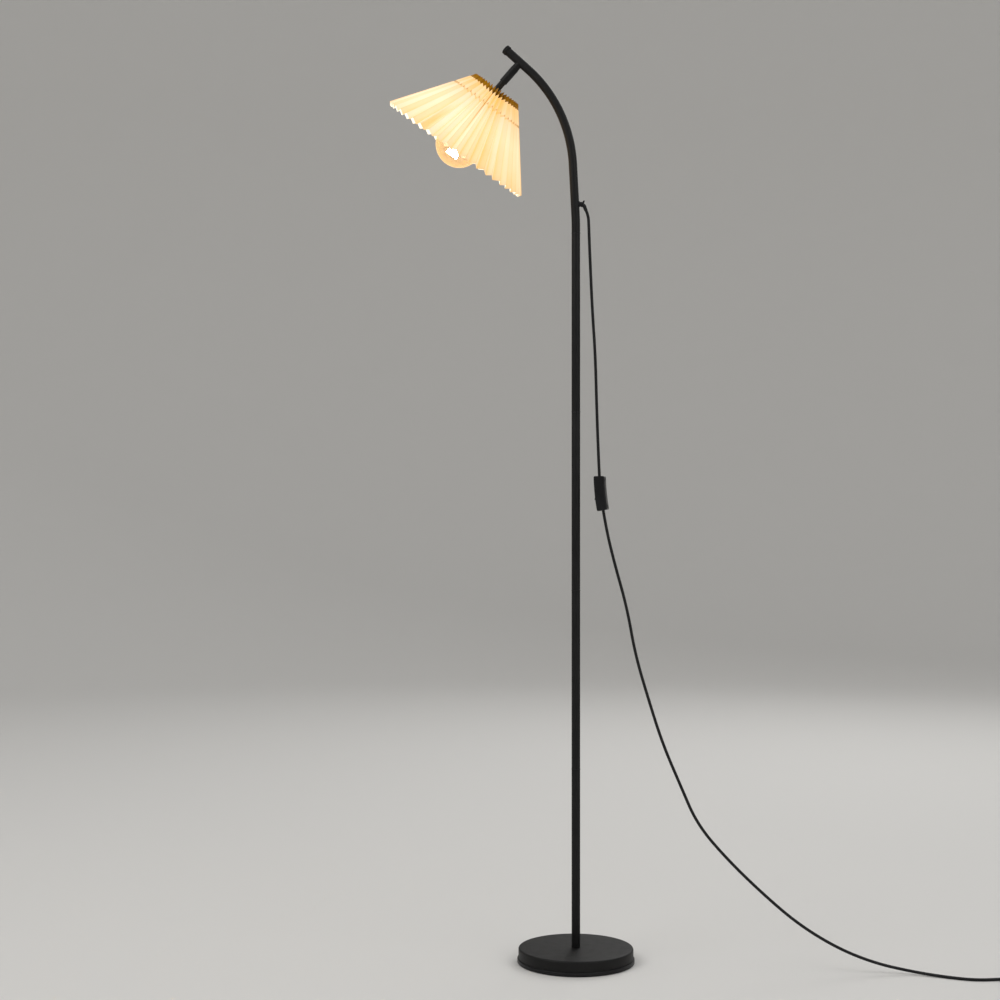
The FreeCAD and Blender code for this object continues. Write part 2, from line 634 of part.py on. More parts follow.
def make_exit():
    inner = EXIT_POINT + AXIS["out"] * (size.tube_radius - size.bush_inside)
    bend_start, _ = bush_station(0)
    bend_middle, _ = bush_station(size.bush_turn / 2)
    tip, tip_direction = bush_station(size.bush_turn)
    end_point = tip + tip_direction * size.bush_tail
    path = Part.Wire([
        Part.LineSegment(inner, bend_start).toShape(),
        Part.Arc(bend_start, bend_middle, tip).toShape(),
        Part.LineSegment(tip, end_point).toShape(),
    ])
    root = Part.Wire(Part.Circle(inner, AXIS["out"], size.bush_root).toShape())
    wall = Part.Wire(Part.Circle(bend_start, AXIS["out"], size.bush_root).toShape())
    end = Part.Wire(Part.Circle(end_point, tip_direction, size.bush_tip).toShape())
    bush = path.makePipeShell([root, wall, end], True, False)
    flange = Part.makeCylinder(size.bush_flange, size.bush_lip + size.tube_radius / 2,
                               EXIT_POINT + AXIS["out"] * (size.tube_radius / 2), AXIS["out"])
    length = 4 * size.bush_flange
    tube = Part.makeCylinder(size.tube_radius, length, EXIT_POINT - AXIS["rise"] * (length / 2), AXIS["rise"])
    part_solid("cord_bush", bush.fuse(flange.cut(tube)).removeSplitter())

    where, direction = bush_station(size.tie_turn)
    bend_length = size.bush_bend * math.radians(size.bush_turn)
    share = size.bush_bend * math.radians(size.tie_turn) / (bend_length + size.bush_tail)
    grip = size.bush_root + (size.bush_tip - size.bush_root) * share + size.fit_clearance
    start = where - direction * (size.tie_width / 2)
    band = Part.makeCylinder(grip + size.tie_wall, size.tie_width, start, direction)
    band = band.cut(Part.makeCylinder(grip, size.tie_width, start, direction))
    lock = Part.makeBox(size.tie_head, size.tie_head, size.tie_width)
    lock.translate(vector(grip + size.tie_wall / 2, -size.tie_head / 2, 0))
    tail = Part.makeBox(size.tie_tail, size.tie_wall, size.tie_width)
    tail.translate(vector(grip + size.tie_head, -size.tie_wall / 2, 0))
    head = lock.fuse(tail)
    head.Placement = frame_of(start, direction)
    head = head.rotated(start, direction, 180)
    part_solid("cord_tie", band.fuse(head).removeSplitter())


def make_lead():
    """The lead inside the arm: out of the bush, up the inner side of the arch and down the neck."""
    side = arm_stations(size.lead_offset)
    along = (size.exit_height - side["lean_end"].z) / side["rise"].z
    corner = ARM_FOOT + side["lean_end"] + side["rise"] * along
    out, rise = AXIS["out"], AXIS["rise"]
    bend = size.lead_pickup
    share = math.sin(math.radians(45))
    pickup_start = corner + out * bend
    pickup_middle = corner + out * bend * (1 - share) + rise * bend * (1 - share)
    pickup_end = corner + rise * bend
    arch_start = ARM_FOOT + side["arch_start"]
    arch_middle = ARM_FOOT + side["arch_middle"]
    arch_end = ARM_FOOT + side["arch_end"]
    reach, under = AXIS["reach"], AXIS["under"]
    above_neck = NECK_ROOT + under * size.lead_offset
    turn_start = above_neck - reach * size.lead_bend
    turn_middle = above_neck - reach * size.lead_bend * (1 - share) + under * size.lead_bend * (1 - share)
    turn_end = above_neck + under * size.lead_bend
    neck_end = PIVOT - under * (size.slot_top + size.overrun)
    path = Part.Wire([
        Part.Arc(pickup_start, pickup_middle, pickup_end).toShape(),
        Part.LineSegment(pickup_end, arch_start).toShape(),
        Part.Arc(arch_start, arch_middle, arch_end).toShape(),
        Part.LineSegment(arch_end, turn_start).toShape(),
        Part.Arc(turn_start, turn_middle, turn_end).toShape(),
        Part.LineSegment(turn_end, neck_end).toShape(),
    ])
    profile = Part.Wire(Part.Circle(pickup_start, out, size.lead_radius).toShape())
    part_solid("arm_lead", path.makePipeShell([profile], True, False))


# Neck: stub on the arm, barrel with a forked ball end, tilt screw and its nut

def make_neck():
    stub_low = "size.neck_drop - size.stub_reach"
    body, _ = turned("stub_body", (
        ("size.neck_bore", stub_low),
        ("size.stub_radius", stub_low),
        ("size.stub_radius", "size.neck_drop - size.tube_radius / 2"),
        ("size.neck_bore", "size.neck_drop - size.tube_radius / 2"),
    ), NECK_FRAME)
    saddle_start = NECK_ROOT - AXIS["reach"] * (2 * size.stub_radius)
    saddle = cylinder("stub_saddle", "size.tube_radius", "4 * size.stub_radius",
                      frame_of(saddle_start, AXIS["reach"]))
    seated = cut_from("stub_seated", body, saddle)
    spigot, _ = turned("stub_spigot", (
        ("size.neck_bore", f"{stub_low} - size.stub_thread"),
        ("size.stud_radius", f"{stub_low} - size.stub_thread"),
        ("size.stud_radius", f"size.neck_drop - ({TUBE_BORE})"),
        ("size.neck_bore", f"size.neck_drop - ({TUBE_BORE})"),
    ), NECK_FRAME)
    keep(joined("neck_stub", [seated, spigot]), "neck_stub")

    barrel_low = f"{stub_low} - size.barrel_length"
    thread_end = f"{stub_low} - size.stub_thread - size.fit_clearance"
    body, sketch = turned("barrel_body", (
        (STUD_HOLE, stub_low),
        ("size.barrel_radius", stub_low),
        ("size.barrel_radius", barrel_low),
        ("size.ball_radius", barrel_low),
        ("size.ball_radius", "0"),
        ("0", "0"),
        ("0", "size.slot_top"),
        ("size.neck_bore", "size.slot_top"),
        ("size.neck_bore", thread_end),
        (STUD_HOLE, thread_end),
    ), NECK_FRAME)
    soften(body, sketch, (1, 2), "size.barrel_chamfer", "Chamfer")
    ball = doc.addObject("Part::Sphere", "barrel_ball")
    ball.setExpression("Radius", "size.ball_radius")
    ball.Placement = NECK_FRAME
    slot = doc.addObject("Part::Box", "barrel_slot")
    slot.setExpression("Length", "4 * size.ball_radius")
    slot.setExpression("Width", "size.slot_width")
    slot.setExpression("Height", "size.slot_top + size.ball_radius + size.overrun")
    slot.Placement = NECK_FRAME.multiply(place_at(vector(
        -2 * size.ball_radius, -size.slot_width / 2, -size.ball_radius - size.overrun)))
    across = FreeCAD.Placement(vector(0, 0, 0), FreeCAD.Rotation(ALONG_X, -90))
    tools = [slot]
    bore_start = place_at(vector(0, -size.barrel_radius, 0))
    tools.append(cylinder("barrel_pin_bore", "size.screw_radius + size.fit_clearance",
                          "2 * size.barrel_radius", NECK_FRAME.multiply(bore_start).multiply(across)))
    for name, start in (("barrel_spot_front", -size.spot_half - size.barrel_radius),
                        ("barrel_spot_back", size.spot_half)):
        spot_start = place_at(vector(0, start, 0))
        tools.append(cylinder(name, "size.spot_radius", "size.barrel_radius",
                              NECK_FRAME.multiply(spot_start).multiply(across)))
    whole = joined("barrel_whole", [body, ball])
    keep(cut_from("neck_barrel", whole, joined("barrel_tools", tools)), "neck_barrel")

    screw_frame = NECK_FRAME.multiply(across)
    body, sketch = turned("tilt_screw", (
        ("0", "-size.spot_half - size.screw_head_height"),
        ("size.screw_head_radius", "-size.spot_half - size.screw_head_height"),
        ("size.screw_head_radius", "-size.spot_half"),
        ("size.screw_radius", "-size.spot_half"),
        ("size.screw_radius", "size.spot_half + size.tilt_nut_height"),
        ("0", "size.spot_half + size.tilt_nut_height"),
    ), screw_frame)
    soften(body, sketch, (1,), "size.screw_head_height / 3")
    keep(body, "tilt_screw")
    nut_frame = screw_frame.multiply(place_at(vector(0, 0, size.spot_half)))
    body = hexagon("tilt_nut", "size.tilt_nut_width", "size.tilt_nut_height",
                   "size.screw_radius + size.fit_clearance", nut_frame)
    keep(body, "tilt_nut")


# Head: tongue, lamp holder with its contacts, shade carrier and shade ring

HOLDER_TOP = "-(size.shoulder_drop + size.shoulder_height)"
BODY_TOP = f"{HOLDER_TOP} - size.holder_cap_height"
FLANGE_LOW = f"{BODY_TOP} - size.holder_flange_height"
BODY_LOW = f"{BODY_TOP} - size.holder_length"
CORE_TOP = f"{BODY_TOP} - size.core_drop"
CORE_LOW = f"{CORE_TOP} - size.core_height"
HOLDER_BORE = "size.holder_radius - size.holder_wall"
HOLDER_GRIP = "size.holder_radius + size.fit_clearance"


def make_holder():
    spigot_low = f"{HOLDER_TOP} - size.spigot_length"
    body, _ = turned("tongue_body", (
        ("0", "-size.shoulder_drop"),
        ("size.shoulder_radius", "-size.shoulder_drop"),
        ("size.shoulder_radius", HOLDER_TOP),
        ("size.stud_radius", HOLDER_TOP),
        ("size.stud_radius", spigot_low),
        ("size.spigot_bore", spigot_low),
        ("size.spigot_bore", HOLDER_TOP),
        ("0", HOLDER_TOP),
    ), HEAD_FRAME)
    slab = doc.addObject("Part::Box", "tongue_slab")
    slab.setExpression("Length", "2 * size.tongue_radius")
    slab.setExpression("Width", "size.tongue_thickness")
    slab.setExpression("Height", "size.shoulder_drop")
    slab.Placement = HEAD_FRAME.multiply(place_at(vector(
        -size.tongue_radius, -size.tongue_thickness / 2, -size.shoulder_drop)))
    across = FreeCAD.Placement(vector(0, 0, 0), FreeCAD.Rotation(ALONG_X, -90))
    eye_start = place_at(vector(0, -size.tongue_thickness / 2, 0))
    eye = cylinder("tongue_eye", "size.tongue_radius", "size.tongue_thickness",
                   HEAD_FRAME.multiply(eye_start).multiply(across))
    bore_start = place_at(vector(0, -size.tongue_thickness, 0))
    bore = cylinder("tongue_bore", "size.screw_radius + size.fit_clearance", "2 * size.tongue_thickness",
                    HEAD_FRAME.multiply(bore_start).multiply(across))
    keep(cut_from("holder_tongue", joined("tongue_whole", [body, slab, eye]), bore), "holder_tongue")

    cap_low_slope = f"{HOLDER_TOP} - size.cap_slope"
    body, sketch = turned("holder_cap", (
        (STUD_HOLE, HOLDER_TOP),
        ("size.cap_shoulder", HOLDER_TOP),
        ("size.holder_radius", cap_low_slope),
        ("size.holder_radius", BODY_TOP),
        (HOLDER_BORE, BODY_TOP),
        (HOLDER_BORE, f"{cap_low_slope} - size.holder_wall / 2"),
        ("size.cap_shoulder - size.holder_wall / 2", f"{HOLDER_TOP} - size.holder_wall"),
        (STUD_HOLE, f"{HOLDER_TOP} - size.holder_wall"),
    ), HEAD_FRAME)
    soften(body, sketch, (1, 2), "size.cap_rounding")
    keep(body, "holder_cap")

    body, _ = turned("holder_body", (
        (HOLDER_BORE, BODY_TOP),
        ("size.holder_flange", BODY_TOP),
        ("size.holder_flange", FLANGE_LOW),
        ("size.holder_radius", FLANGE_LOW),
        ("size.holder_radius", BODY_LOW),
        (f"{HOLDER_BORE} - size.holder_lip", BODY_LOW),
        (f"{HOLDER_BORE} - size.holder_lip", f"{BODY_LOW} + size.holder_wall"),
        (HOLDER_BORE, f"{BODY_LOW} + size.holder_wall"),
    ), HEAD_FRAME)
    keep(body, "holder_body")

    body, _ = turned("holder_core", (
        ("0", CORE_TOP),
        (f"{HOLDER_BORE} - size.fit_clearance", CORE_TOP),
        (f"{HOLDER_BORE} - size.fit_clearance", CORE_LOW),
        ("0", CORE_LOW),
    ), HEAD_FRAME)
    keep(body, "holder_core")

    shell_in = "size.shell_radius - size.shell_wall"
    body, _ = turned("holder_shell", (
        ("size.shell_eye", CORE_LOW),
        ("size.shell_radius", CORE_LOW),
        ("size.shell_radius", f"{CORE_LOW} - size.shell_length"),
        (shell_in, f"{CORE_LOW} - size.shell_length"),
        (shell_in, f"{CORE_LOW} - size.shell_wall"),
        ("size.shell_eye", f"{CORE_LOW} - size.shell_wall"),
    ), HEAD_FRAME)
    keep(body, "holder_shell")

    body, sketch = turned("holder_contact", (
        ("0", CORE_LOW),
        ("size.contact_radius", CORE_LOW),
        ("size.contact_radius", f"{CORE_LOW} - size.contact_height"),
        ("0", f"{CORE_LOW} - size.contact_height"),
    ), HEAD_FRAME)
    soften(body, sketch, (2,), "size.contact_height / 2")
    keep(body, "holder_contact")

    body, _ = turned("holder_lead", (
        ("0", HOLDER_TOP),
        ("size.lead_radius", HOLDER_TOP),
        ("size.lead_radius", CORE_TOP),
        ("0", CORE_TOP),
    ), HEAD_FRAME)
    keep(body, "holder_lead")


def fold_radii(drop):
    """Outer and inner fold radius of the shade at a distance below its crown."""
    share = drop / size.shade_height
    outer = size.crown_radius + (size.mouth_radius - size.crown_radius) * share
    inner_crown = size.crown_radius - size.crown_depth
    inner_mouth = size.mouth_radius - size.mouth_depth
    return outer, inner_crown + (inner_mouth - inner_crown) * share


def sheet_shift(drop):
    """How far half the sheet's thickness moves a fold along its radius."""
    outer, inner = fold_radii(drop)
    half_pitch = math.pi / PLEAT_COUNT
    half_chord = inner * math.sin(half_pitch)
    fold_half_angle = math.atan2(half_chord, outer - inner * math.cos(half_pitch))
    return size.paper_thickness / 2 / math.sin(fold_half_angle)


def carrier_level():
    """Middle of the carrier's hub below the pivot."""
    flange_low = (size.shoulder_drop + size.shoulder_height + size.holder_cap_height
                  + size.holder_flange_height)
    return flange_low + size.hub_thickness / 2


def make_carrier():
    drop = carrier_level() - size.crown_drop
    _, inner_fold = fold_radii(drop)
    _, crown_fold = fold_radii(0)
    _, mouth_fold = fold_radii(size.shade_height)
    slant = math.hypot(mouth_fold - crown_fold, size.shade_height) / size.shade_height
    ring_radius = inner_fold - sheet_shift(drop) - size.carrier_wire * slant + size.ring_press
    body, _ = turned("carrier_hub", (
        (HOLDER_GRIP, FLANGE_LOW),
        ("size.hub_radius", FLANGE_LOW),
        ("size.hub_radius", f"{FLANGE_LOW} - size.hub_thickness"),
        (HOLDER_GRIP, f"{FLANGE_LOW} - size.hub_thickness"),
    ), HEAD_FRAME)
    middle = HEAD_FRAME.multiply(place_at(vector(0, 0, -carrier_level())))
    ring = doc.addObject("Part::Torus", "carrier_ring")
    ring.Radius1 = ring_radius
    ring.setExpression("Radius2", "size.carrier_wire")
    ring.Placement = middle
    items = [body, ring]
    for number in range(SPOKE_COUNT):
        spoke = doc.addObject("Part::Box", f"carrier_spoke_{number + 1}")
        spoke.Length = ring_radius - size.hub_radius + size.hub_thickness
        spoke.setExpression("Width", "size.spoke_width")
        spoke.setExpression("Height", "size.hub_thickness")
        turn = FreeCAD.Placement(vector(0, 0, 0), FreeCAD.Rotation(UP, 360 / SPOKE_COUNT * (number + 0.5)))
        start = place_at(vector(size.hub_radius - size.hub_thickness, -size.spoke_width / 2,
                                -size.hub_thickness / 2))
        spoke.Placement = middle.multiply(turn).multiply(start)
        items.append(spoke)
    keep(joined("shade_carrier", items), "shade_carrier")

    ring_top = f"{FLANGE_LOW} - size.hub_thickness"
    body, sketch = turned("shade_ring", (
        (HOLDER_GRIP, ring_top),
        ("size.ring_flange", ring_top),
        ("size.ring_flange", f"{ring_top} - size.ring_flange_height"),
        ("size.ring_radius", f"{ring_top} - size.ring_flange_height"),
        ("size.ring_radius", f"{ring_top} - size.ring_height"),
        (HOLDER_GRIP, f"{ring_top} - size.ring_height"),
    ), HEAD_FRAME)
    notch = attached_sketch(body, "XY_Plane")
    notch.addGeometry(Part.Circle(vector(1, 0, 0), UP, 1.0), False)
    notch.addConstraint(Sketcher.Constraint("PointOnObject", 0, 3, -1))
    number = notch.addConstraint(Sketcher.Constraint("DistanceX", -1, 1, 0, 3, 1.0))
    notch.setExpression(f"Constraints[{number}]", "size.ring_flange + size.notch_radius / 2")
    number = notch.addConstraint(Sketcher.Constraint("Radius", 0, 1.0))
    notch.setExpression(f"Constraints[{number}]", "size.notch_radius")
    pocket = body.newObject("PartDesign::Pocket", "ring_notch")
    pocket.Profile = notch
    pocket.Type = "ThroughAll"
    pocket.SideType = "Symmetric"
    pattern = body.newObject("PartDesign::PolarPattern", "ring_notches")
    pattern.Originals = [pocket]
    pattern.Axis = (notch, ["N_Axis"])
    pattern.Angle = 360.0
    pattern.Occurrences = NOTCH_COUNT
    body.Tip = pattern
    doc.recompute()
    keep(body, "shade_ring")


# Shade: one folded sheet, outer and inner folds joined by ruled faces

def star(drop, side):
    """Zigzag edge at a distance below the crown, offset by half the sheet to one side. The sheet is cut
    square to its folds, so each inner fold ends lower than the outer folds beside it."""
    outer, _ = fold_radii(drop)
    _, inner = fold_radii(drop + size.fold_lag)
    level = -size.crown_drop - drop
    shift = side * sheet_shift(drop)
    points = []
    for number in range(2 * PLEAT_COUNT):
        is_outer = number % 2 == 0
        radius = (outer if is_outer else inner) + shift
        angle = number * math.pi / PLEAT_COUNT
        height = level if is_outer else level - size.fold_lag
        points.append(vector(radius * math.cos(angle), radius * math.sin(angle), height))
    points.append(points[0])
    return Part.makePolygon(points)


def make_shade():
    """The sheet's outside, crown edge, inside and mouth edge, each ruled between two zigzags."""
    zigzags = [star(size.shade_height, 1), star(0, 1), star(0, -1), star(size.shade_height, -1)]
    faces = []
    for near, far in zip(zigzags, zigzags[1:] + zigzags[:1]):
        for near_edge, far_edge in zip(near.Edges, far.Edges):
            faces.append(Part.makeRuledSurface(near_edge, far_edge))
    skin = Part.makeShell(faces)
    skin.sewShape()
    sheet = Part.makeSolid(skin)
    if sheet.Volume < 0:
        sheet.reverse()
    part_solid("shade", sheet, HEAD_FRAME)
    rings = []
    for drop in (size.upper_thread_drop, LOWER_THREAD_SHARE * size.shade_height):
        outer, inner = fold_radii(drop)
        rings.append(Part.makeTorus((outer + inner) / 2, size.thread_radius,
                                    vector(0, 0, -size.crown_drop - drop), UP))
    part_solid("shade_threads", Part.makeCompound(rings), HEAD_FRAME)


# Bulb: screw cap, insulator and contact, glass globe, stem and light-emitting rods

BULB_TOP = f"{CORE_LOW} - size.contact_height - size.contact_gap"
INSULATOR_TOP = f"{BULB_TOP} - size.bulb_contact_height"
CAP_TOP = f"{INSULATOR_TOP} - size.insulator_height"
CAP_LOW = f"{CAP_TOP} - size.bulb_cap_length"


def cap_low_level():
    holder = (size.shoulder_drop + size.shoulder_height + size.holder_cap_height + size.core_drop
              + size.core_height)
    return -(holder + size.contact_height + size.contact_gap + size.bulb_contact_height
             + size.insulator_height + size.bulb_cap_length)


def globe_outline(radius, neck_radius, neck_level):
    """Half section: a sphere, and a straight cone that leaves it tangentially for the neck."""
    centre = vector(0, 0, -size.globe_drop)
    neck = vector(neck_radius, 0, neck_level)
    reach = neck - centre
    tilt = math.atan2(reach.z, reach.x)
    touch = tilt - math.acos(radius / reach.Length)
    middle = (touch - math.pi / 2) / 2
    pole = centre - UP * radius
    arc_middle = centre + vector(math.cos(middle), 0, math.sin(middle)) * radius
    touch_point = centre + vector(math.cos(touch), 0, math.sin(touch)) * radius
    return pole, arc_middle, touch_point, neck


def make_bulb():
    neck_level = cap_low_level() + size.bulb_neck_overlap
    glass_in_cap = size.bulb_cap_radius - size.bulb_cap_wall - size.fit_clearance
    pole, middle, touch, neck = globe_outline(size.globe_radius, size.bulb_neck_radius, cap_low_level())
    in_pole, in_middle, in_touch, in_neck = globe_outline(
        size.globe_radius - size.glass_wall, size.bulb_neck_radius - size.glass_wall * 2, cap_low_level())
    collar = vector(glass_in_cap, 0, cap_low_level())
    collar_top = vector(glass_in_cap, 0, neck_level)
    in_collar_top = vector(in_neck.x, 0, neck_level)
    section = Part.Face(Part.Wire([
        Part.Arc(pole, middle, touch).toShape(),
        Part.LineSegment(touch, neck).toShape(),
        Part.LineSegment(neck, collar).toShape(),
        Part.LineSegment(collar, collar_top).toShape(),
        Part.LineSegment(collar_top, in_collar_top).toShape(),
        Part.LineSegment(in_collar_top, in_neck).toShape(),
        Part.LineSegment(in_neck, in_touch).toShape(),
        Part.Arc(in_touch, in_middle, in_pole).toShape(),
        Part.LineSegment(in_pole, pole).toShape(),
    ]))
    part_solid("bulb_globe", section.revolve(vector(0, 0, 0), UP, 360), HEAD_FRAME)

    body, _ = turned("bulb_cap", (
        ("size.bulb_contact_radius", CAP_TOP),
        ("size.bulb_cap_radius", CAP_TOP),
        ("size.bulb_cap_radius", f"{CAP_LOW} + size.bulb_rim_height"),
        ("size.bulb_rim_radius", f"{CAP_LOW} + size.bulb_cap_wall"),
        ("size.bulb_rim_radius", CAP_LOW),
        ("size.bulb_cap_radius - size.bulb_cap_wall", CAP_LOW),
        ("size.bulb_cap_radius - size.bulb_cap_wall", f"{CAP_TOP} - size.bulb_cap_wall"),
        ("size.bulb_contact_radius", f"{CAP_TOP} - size.bulb_cap_wall"),
    ), HEAD_FRAME)
    keep(body, "bulb_cap")

    body, _ = turned("bulb_insulator", (
        ("0", INSULATOR_TOP),
        ("size.bulb_contact_radius", INSULATOR_TOP),
        ("size.insulator_base", CAP_TOP),
        ("0", CAP_TOP),
    ), HEAD_FRAME)
    keep(body, "bulb_insulator")

    body, sketch = turned("bulb_contact", (
        ("0", BULB_TOP),
        ("size.bulb_contact_radius", BULB_TOP),
        ("size.bulb_contact_radius", INSULATOR_TOP),
        ("0", INSULATOR_TOP),
    ), HEAD_FRAME)
    soften(body, sketch, (1,), "size.bulb_contact_height / 2")
    keep(body, "bulb_contact")

    stem_root = f"{CAP_LOW} + size.bulb_neck_overlap"
    body, sketch = turned("bulb_stem", (
        ("0", stem_root),
        ("size.bulb_neck_radius - size.glass_wall * 2 - size.fit_clearance", stem_root),
        ("size.stem_root", f"{stem_root} - size.glass_wall * 2"),
        ("size.stem_waist", f"{stem_root} - size.stem_flare"),
        ("size.stem_tip", f"{stem_root} - size.stem_length"),
        ("0", f"{stem_root} - size.stem_length"),
    ), HEAD_FRAME)
    keep(body, "bulb_stem")

    tip_level = neck_level - size.stem_length
    rods = []
    spread = math.radians(size.filament_spread)
    start_radius = size.filament_inner
    direction = vector(math.sin(spread), 0, -math.cos(spread))
    rod = Part.makeCylinder(size.filament_radius, size.filament_length,
                            vector(start_radius, 0, tip_level + size.filament_inner), direction)
    for number in range(FILAMENT_COUNT):
        rods.append(rod.rotated(vector(0, 0, 0), UP, 360 / FILAMENT_COUNT * number))
    part_solid("bulb_filaments", Part.makeCompound(rods), HEAD_FRAME)


# Inline switch: two arched half shells, rocker on its pin, contact strips and screws

SWITCH_FRAME = place_at(vector(size.switch_x, 0, size.switch_z), -size.switch_tilt)


def arched_slab(near, far, half_length, half_width):
    """Slab between two arcs about one centre on +X, at distances from the casing's middle surface."""
    centre = vector(size.switch_arch, 0, 0)

    def at(offset, angle):
        return centre + vector(-math.cos(angle), 0, math.sin(angle)) * (size.switch_arch + offset)

    turn = math.asin(half_length / size.switch_arch)
    section = Part.Face(Part.Wire([
        Part.Arc(at(near, -turn), at(near, 0), at(near, turn)).toShape(),
        Part.LineSegment(at(near, turn), at(far, turn)).toShape(),
        Part.Arc(at(far, turn), at(far, 0), at(far, -turn)).toShape(),
        Part.LineSegment(at(far, -turn), at(near, -turn)).toShape(),
    ]))
    slab = section.extrude(ALONG_Y * (2 * half_width))
    slab.translate(ALONG_Y * -half_width)
    return slab


def rounded_face(slab, offset):
    """Rounds the four edges round the face that lies on one arc of a slab."""
    radius = size.switch_arch + offset
    edges = [edge for edge in slab.Edges if all(
        math.isclose(math.hypot(vertex.X - size.switch_arch, vertex.Z), radius, abs_tol=TOLERANCE)
        for vertex in edge.Vertexes)]
    return slab.makeFillet(size.switch_edge, edges)


def switch_screw(level, radius, start, length):
    return Part.makeCylinder(radius, length, vector(start, 0, level), ALONG_X)


def make_switch():
    half_length = size.switch_length / 2
    half_width = size.switch_width / 2
    half_depth = size.switch_depth / 2
    room_half = half_length - size.switch_end
    room_width = half_width - size.switch_wall
    room_depth = half_depth - size.switch_wall
    levels = (-size.switch_screw_place, size.switch_screw_place)
    sagitta = size.switch_arch - math.sqrt(size.switch_arch ** 2 - size.switch_screw_place ** 2)
    back_face = half_depth + sagitta
    shaft_start = back_face - size.switch_screw_sink - size.switch_screw_length

    front = rounded_face(arched_slab(0, half_depth, half_length, half_width), half_depth)
    front = front.cut(arched_slab(-size.overrun, room_depth, room_half, room_width))
    opening_width = size.rocker_width + 2 * size.rocker_play
    opening_length = size.rocker_length + 2 * size.rocker_play
    opening = Part.makeBox(half_depth, opening_width, opening_length)
    opening.translate(vector(-half_depth - size.overrun, -opening_width / 2, -opening_length / 2))
    front = front.cut(opening)
    back = rounded_face(arched_slab(-half_depth, 0, half_length, half_width), -half_depth)
    back = back.cut(arched_slab(-room_depth, size.overrun, room_half, room_width))
    shafts = []
    for level in levels:
        hole = switch_screw(level, size.switch_screw_radius + size.fit_clearance, shaft_start,
                            size.switch_screw_length + size.overrun)
        sink = switch_screw(level, size.switch_screw_head + size.fit_clearance,
                            back_face - size.switch_screw_sink, size.switch_screw_sink + size.overrun)
        front = front.cut(hole)
        back = back.cut(hole).cut(sink)
        shaft = switch_screw(level, size.switch_screw_radius, shaft_start, size.switch_screw_length)
        head = switch_screw(level, size.switch_screw_head, back_face - size.switch_screw_sink,
                            size.switch_screw_sink / 2)
        shafts.append(shaft.fuse(head))
    part_solid("switch_front", front.removeSplitter(), SWITCH_FRAME)
    part_solid("switch_back", back.removeSplitter(), SWITCH_FRAME)
    part_solid("switch_screws", Part.makeCompound(shafts), SWITCH_FRAME)

    strips = []
    strip_x = room_depth - size.strip_thickness + size.strip_press
    for side in (-1, 1):
        strip = Part.makeBox(size.strip_thickness, size.strip_width, size.strip_length)
        strip.translate(vector(strip_x, -size.strip_width / 2,
                               side * size.strip_place - size.strip_length / 2))
        strips.append(strip)
    part_solid("switch_contacts", Part.makeCompound(strips), SWITCH_FRAME)

    pivot = vector(-(half_depth - size.rocker_depth), 0, 0)
    pin = Part.makeCylinder(size.pin_radius, 2 * (room_width - size.fit_clearance),
                            pivot - ALONG_Y * (room_width - size.fit_clearance), ALONG_Y)
    part_solid("rocker_pin", pin, SWITCH_FRAME)

    body = new_body("switch_rocker", SWITCH_FRAME.multiply(place_at(pivot, size.rocker_swing)))
    half = "size.rocker_length / 2"
    face = "-(size.rocker_depth + size.rocker_stand)"
    dish = f"{face} + size.rocker_dish"
    skirt = "-(size.rocker_depth - size.switch_wall)"
    sketch = outline(body, "XZ_Plane", (
        ("size.rocker_foot", "-size.rocker_foot_half"),
        (skirt, f"-{half} + size.rocker_play"),
        (face, f"-{half}"),
        (dish, "0"),
        (face, half),
        (skirt, f"{half} - size.rocker_play"),
        ("size.rocker_foot", "size.rocker_foot_half"),
    ))
    padded(body, sketch, "size.rocker_width", True)
    bore = attached_sketch(body, "XZ_Plane")
    bore.addGeometry(Part.Circle(vector(0, 0, 0), UP, 1.0), False)
    bore.addConstraint(Sketcher.Constraint("Coincident", 0, 3, -1, 1))
    number = bore.addConstraint(Sketcher.Constraint("Radius", 0, 1.0))
    bore.setExpression(f"Constraints[{number}]", "size.pin_radius + size.fit_clearance")
    pocket = body.newObject("PartDesign::Pocket", "rocker_bore")
    pocket.Profile = bore
    pocket.Type = "ThroughAll"
    pocket.SideType = "Symmetric"
    doc.recompute()
    keep(body, "switch_rocker")


# Cord: routes chosen by hand, as (x, y, z) points that straight runs and tangent arcs follow

UPPER_ROUTE = (
    (17.45, 0, 1261.73),
    (20.95, 0, 1253.5),
    (21.9, 0, 1240),
    (22.8, 0, 1212),
    (25, 0, 1158),
    (28.2, 0, 1090),
    (33, 0, 1019),
    (35, 0, 944),
    (37.4, 0, 872),
    (39.9, 0, 815.8),
)
LOWER_ROUTE = (
    (46.4, 0, 759),
    (51.6, 0, 727),
    (65.2, 0, 671),
    (86.6, 0, 596),
    (100.2, 0, 519),
    (121.9, 0, 446),
    (146, 0, 371),
    (176, 0, 302),
    (204, 0, 238),
    (255, 0, 181),
    (313, 1, 127),
    (369, 4, 80.5),
    (432, 12, 42.5),
    (492, 27, 17.5),
    (551, 37, 4.6),
    (598, 24, 2.5),
    (648, 12, 2.5),
    (690, 26.5, 2.5),
    (716.4, 35.4, 2.5),
)
TAIL_ROUTE = (
    (744, 43.3, 6),
    (762, 44.2, 6.4),
    (780, 46, 7),
)


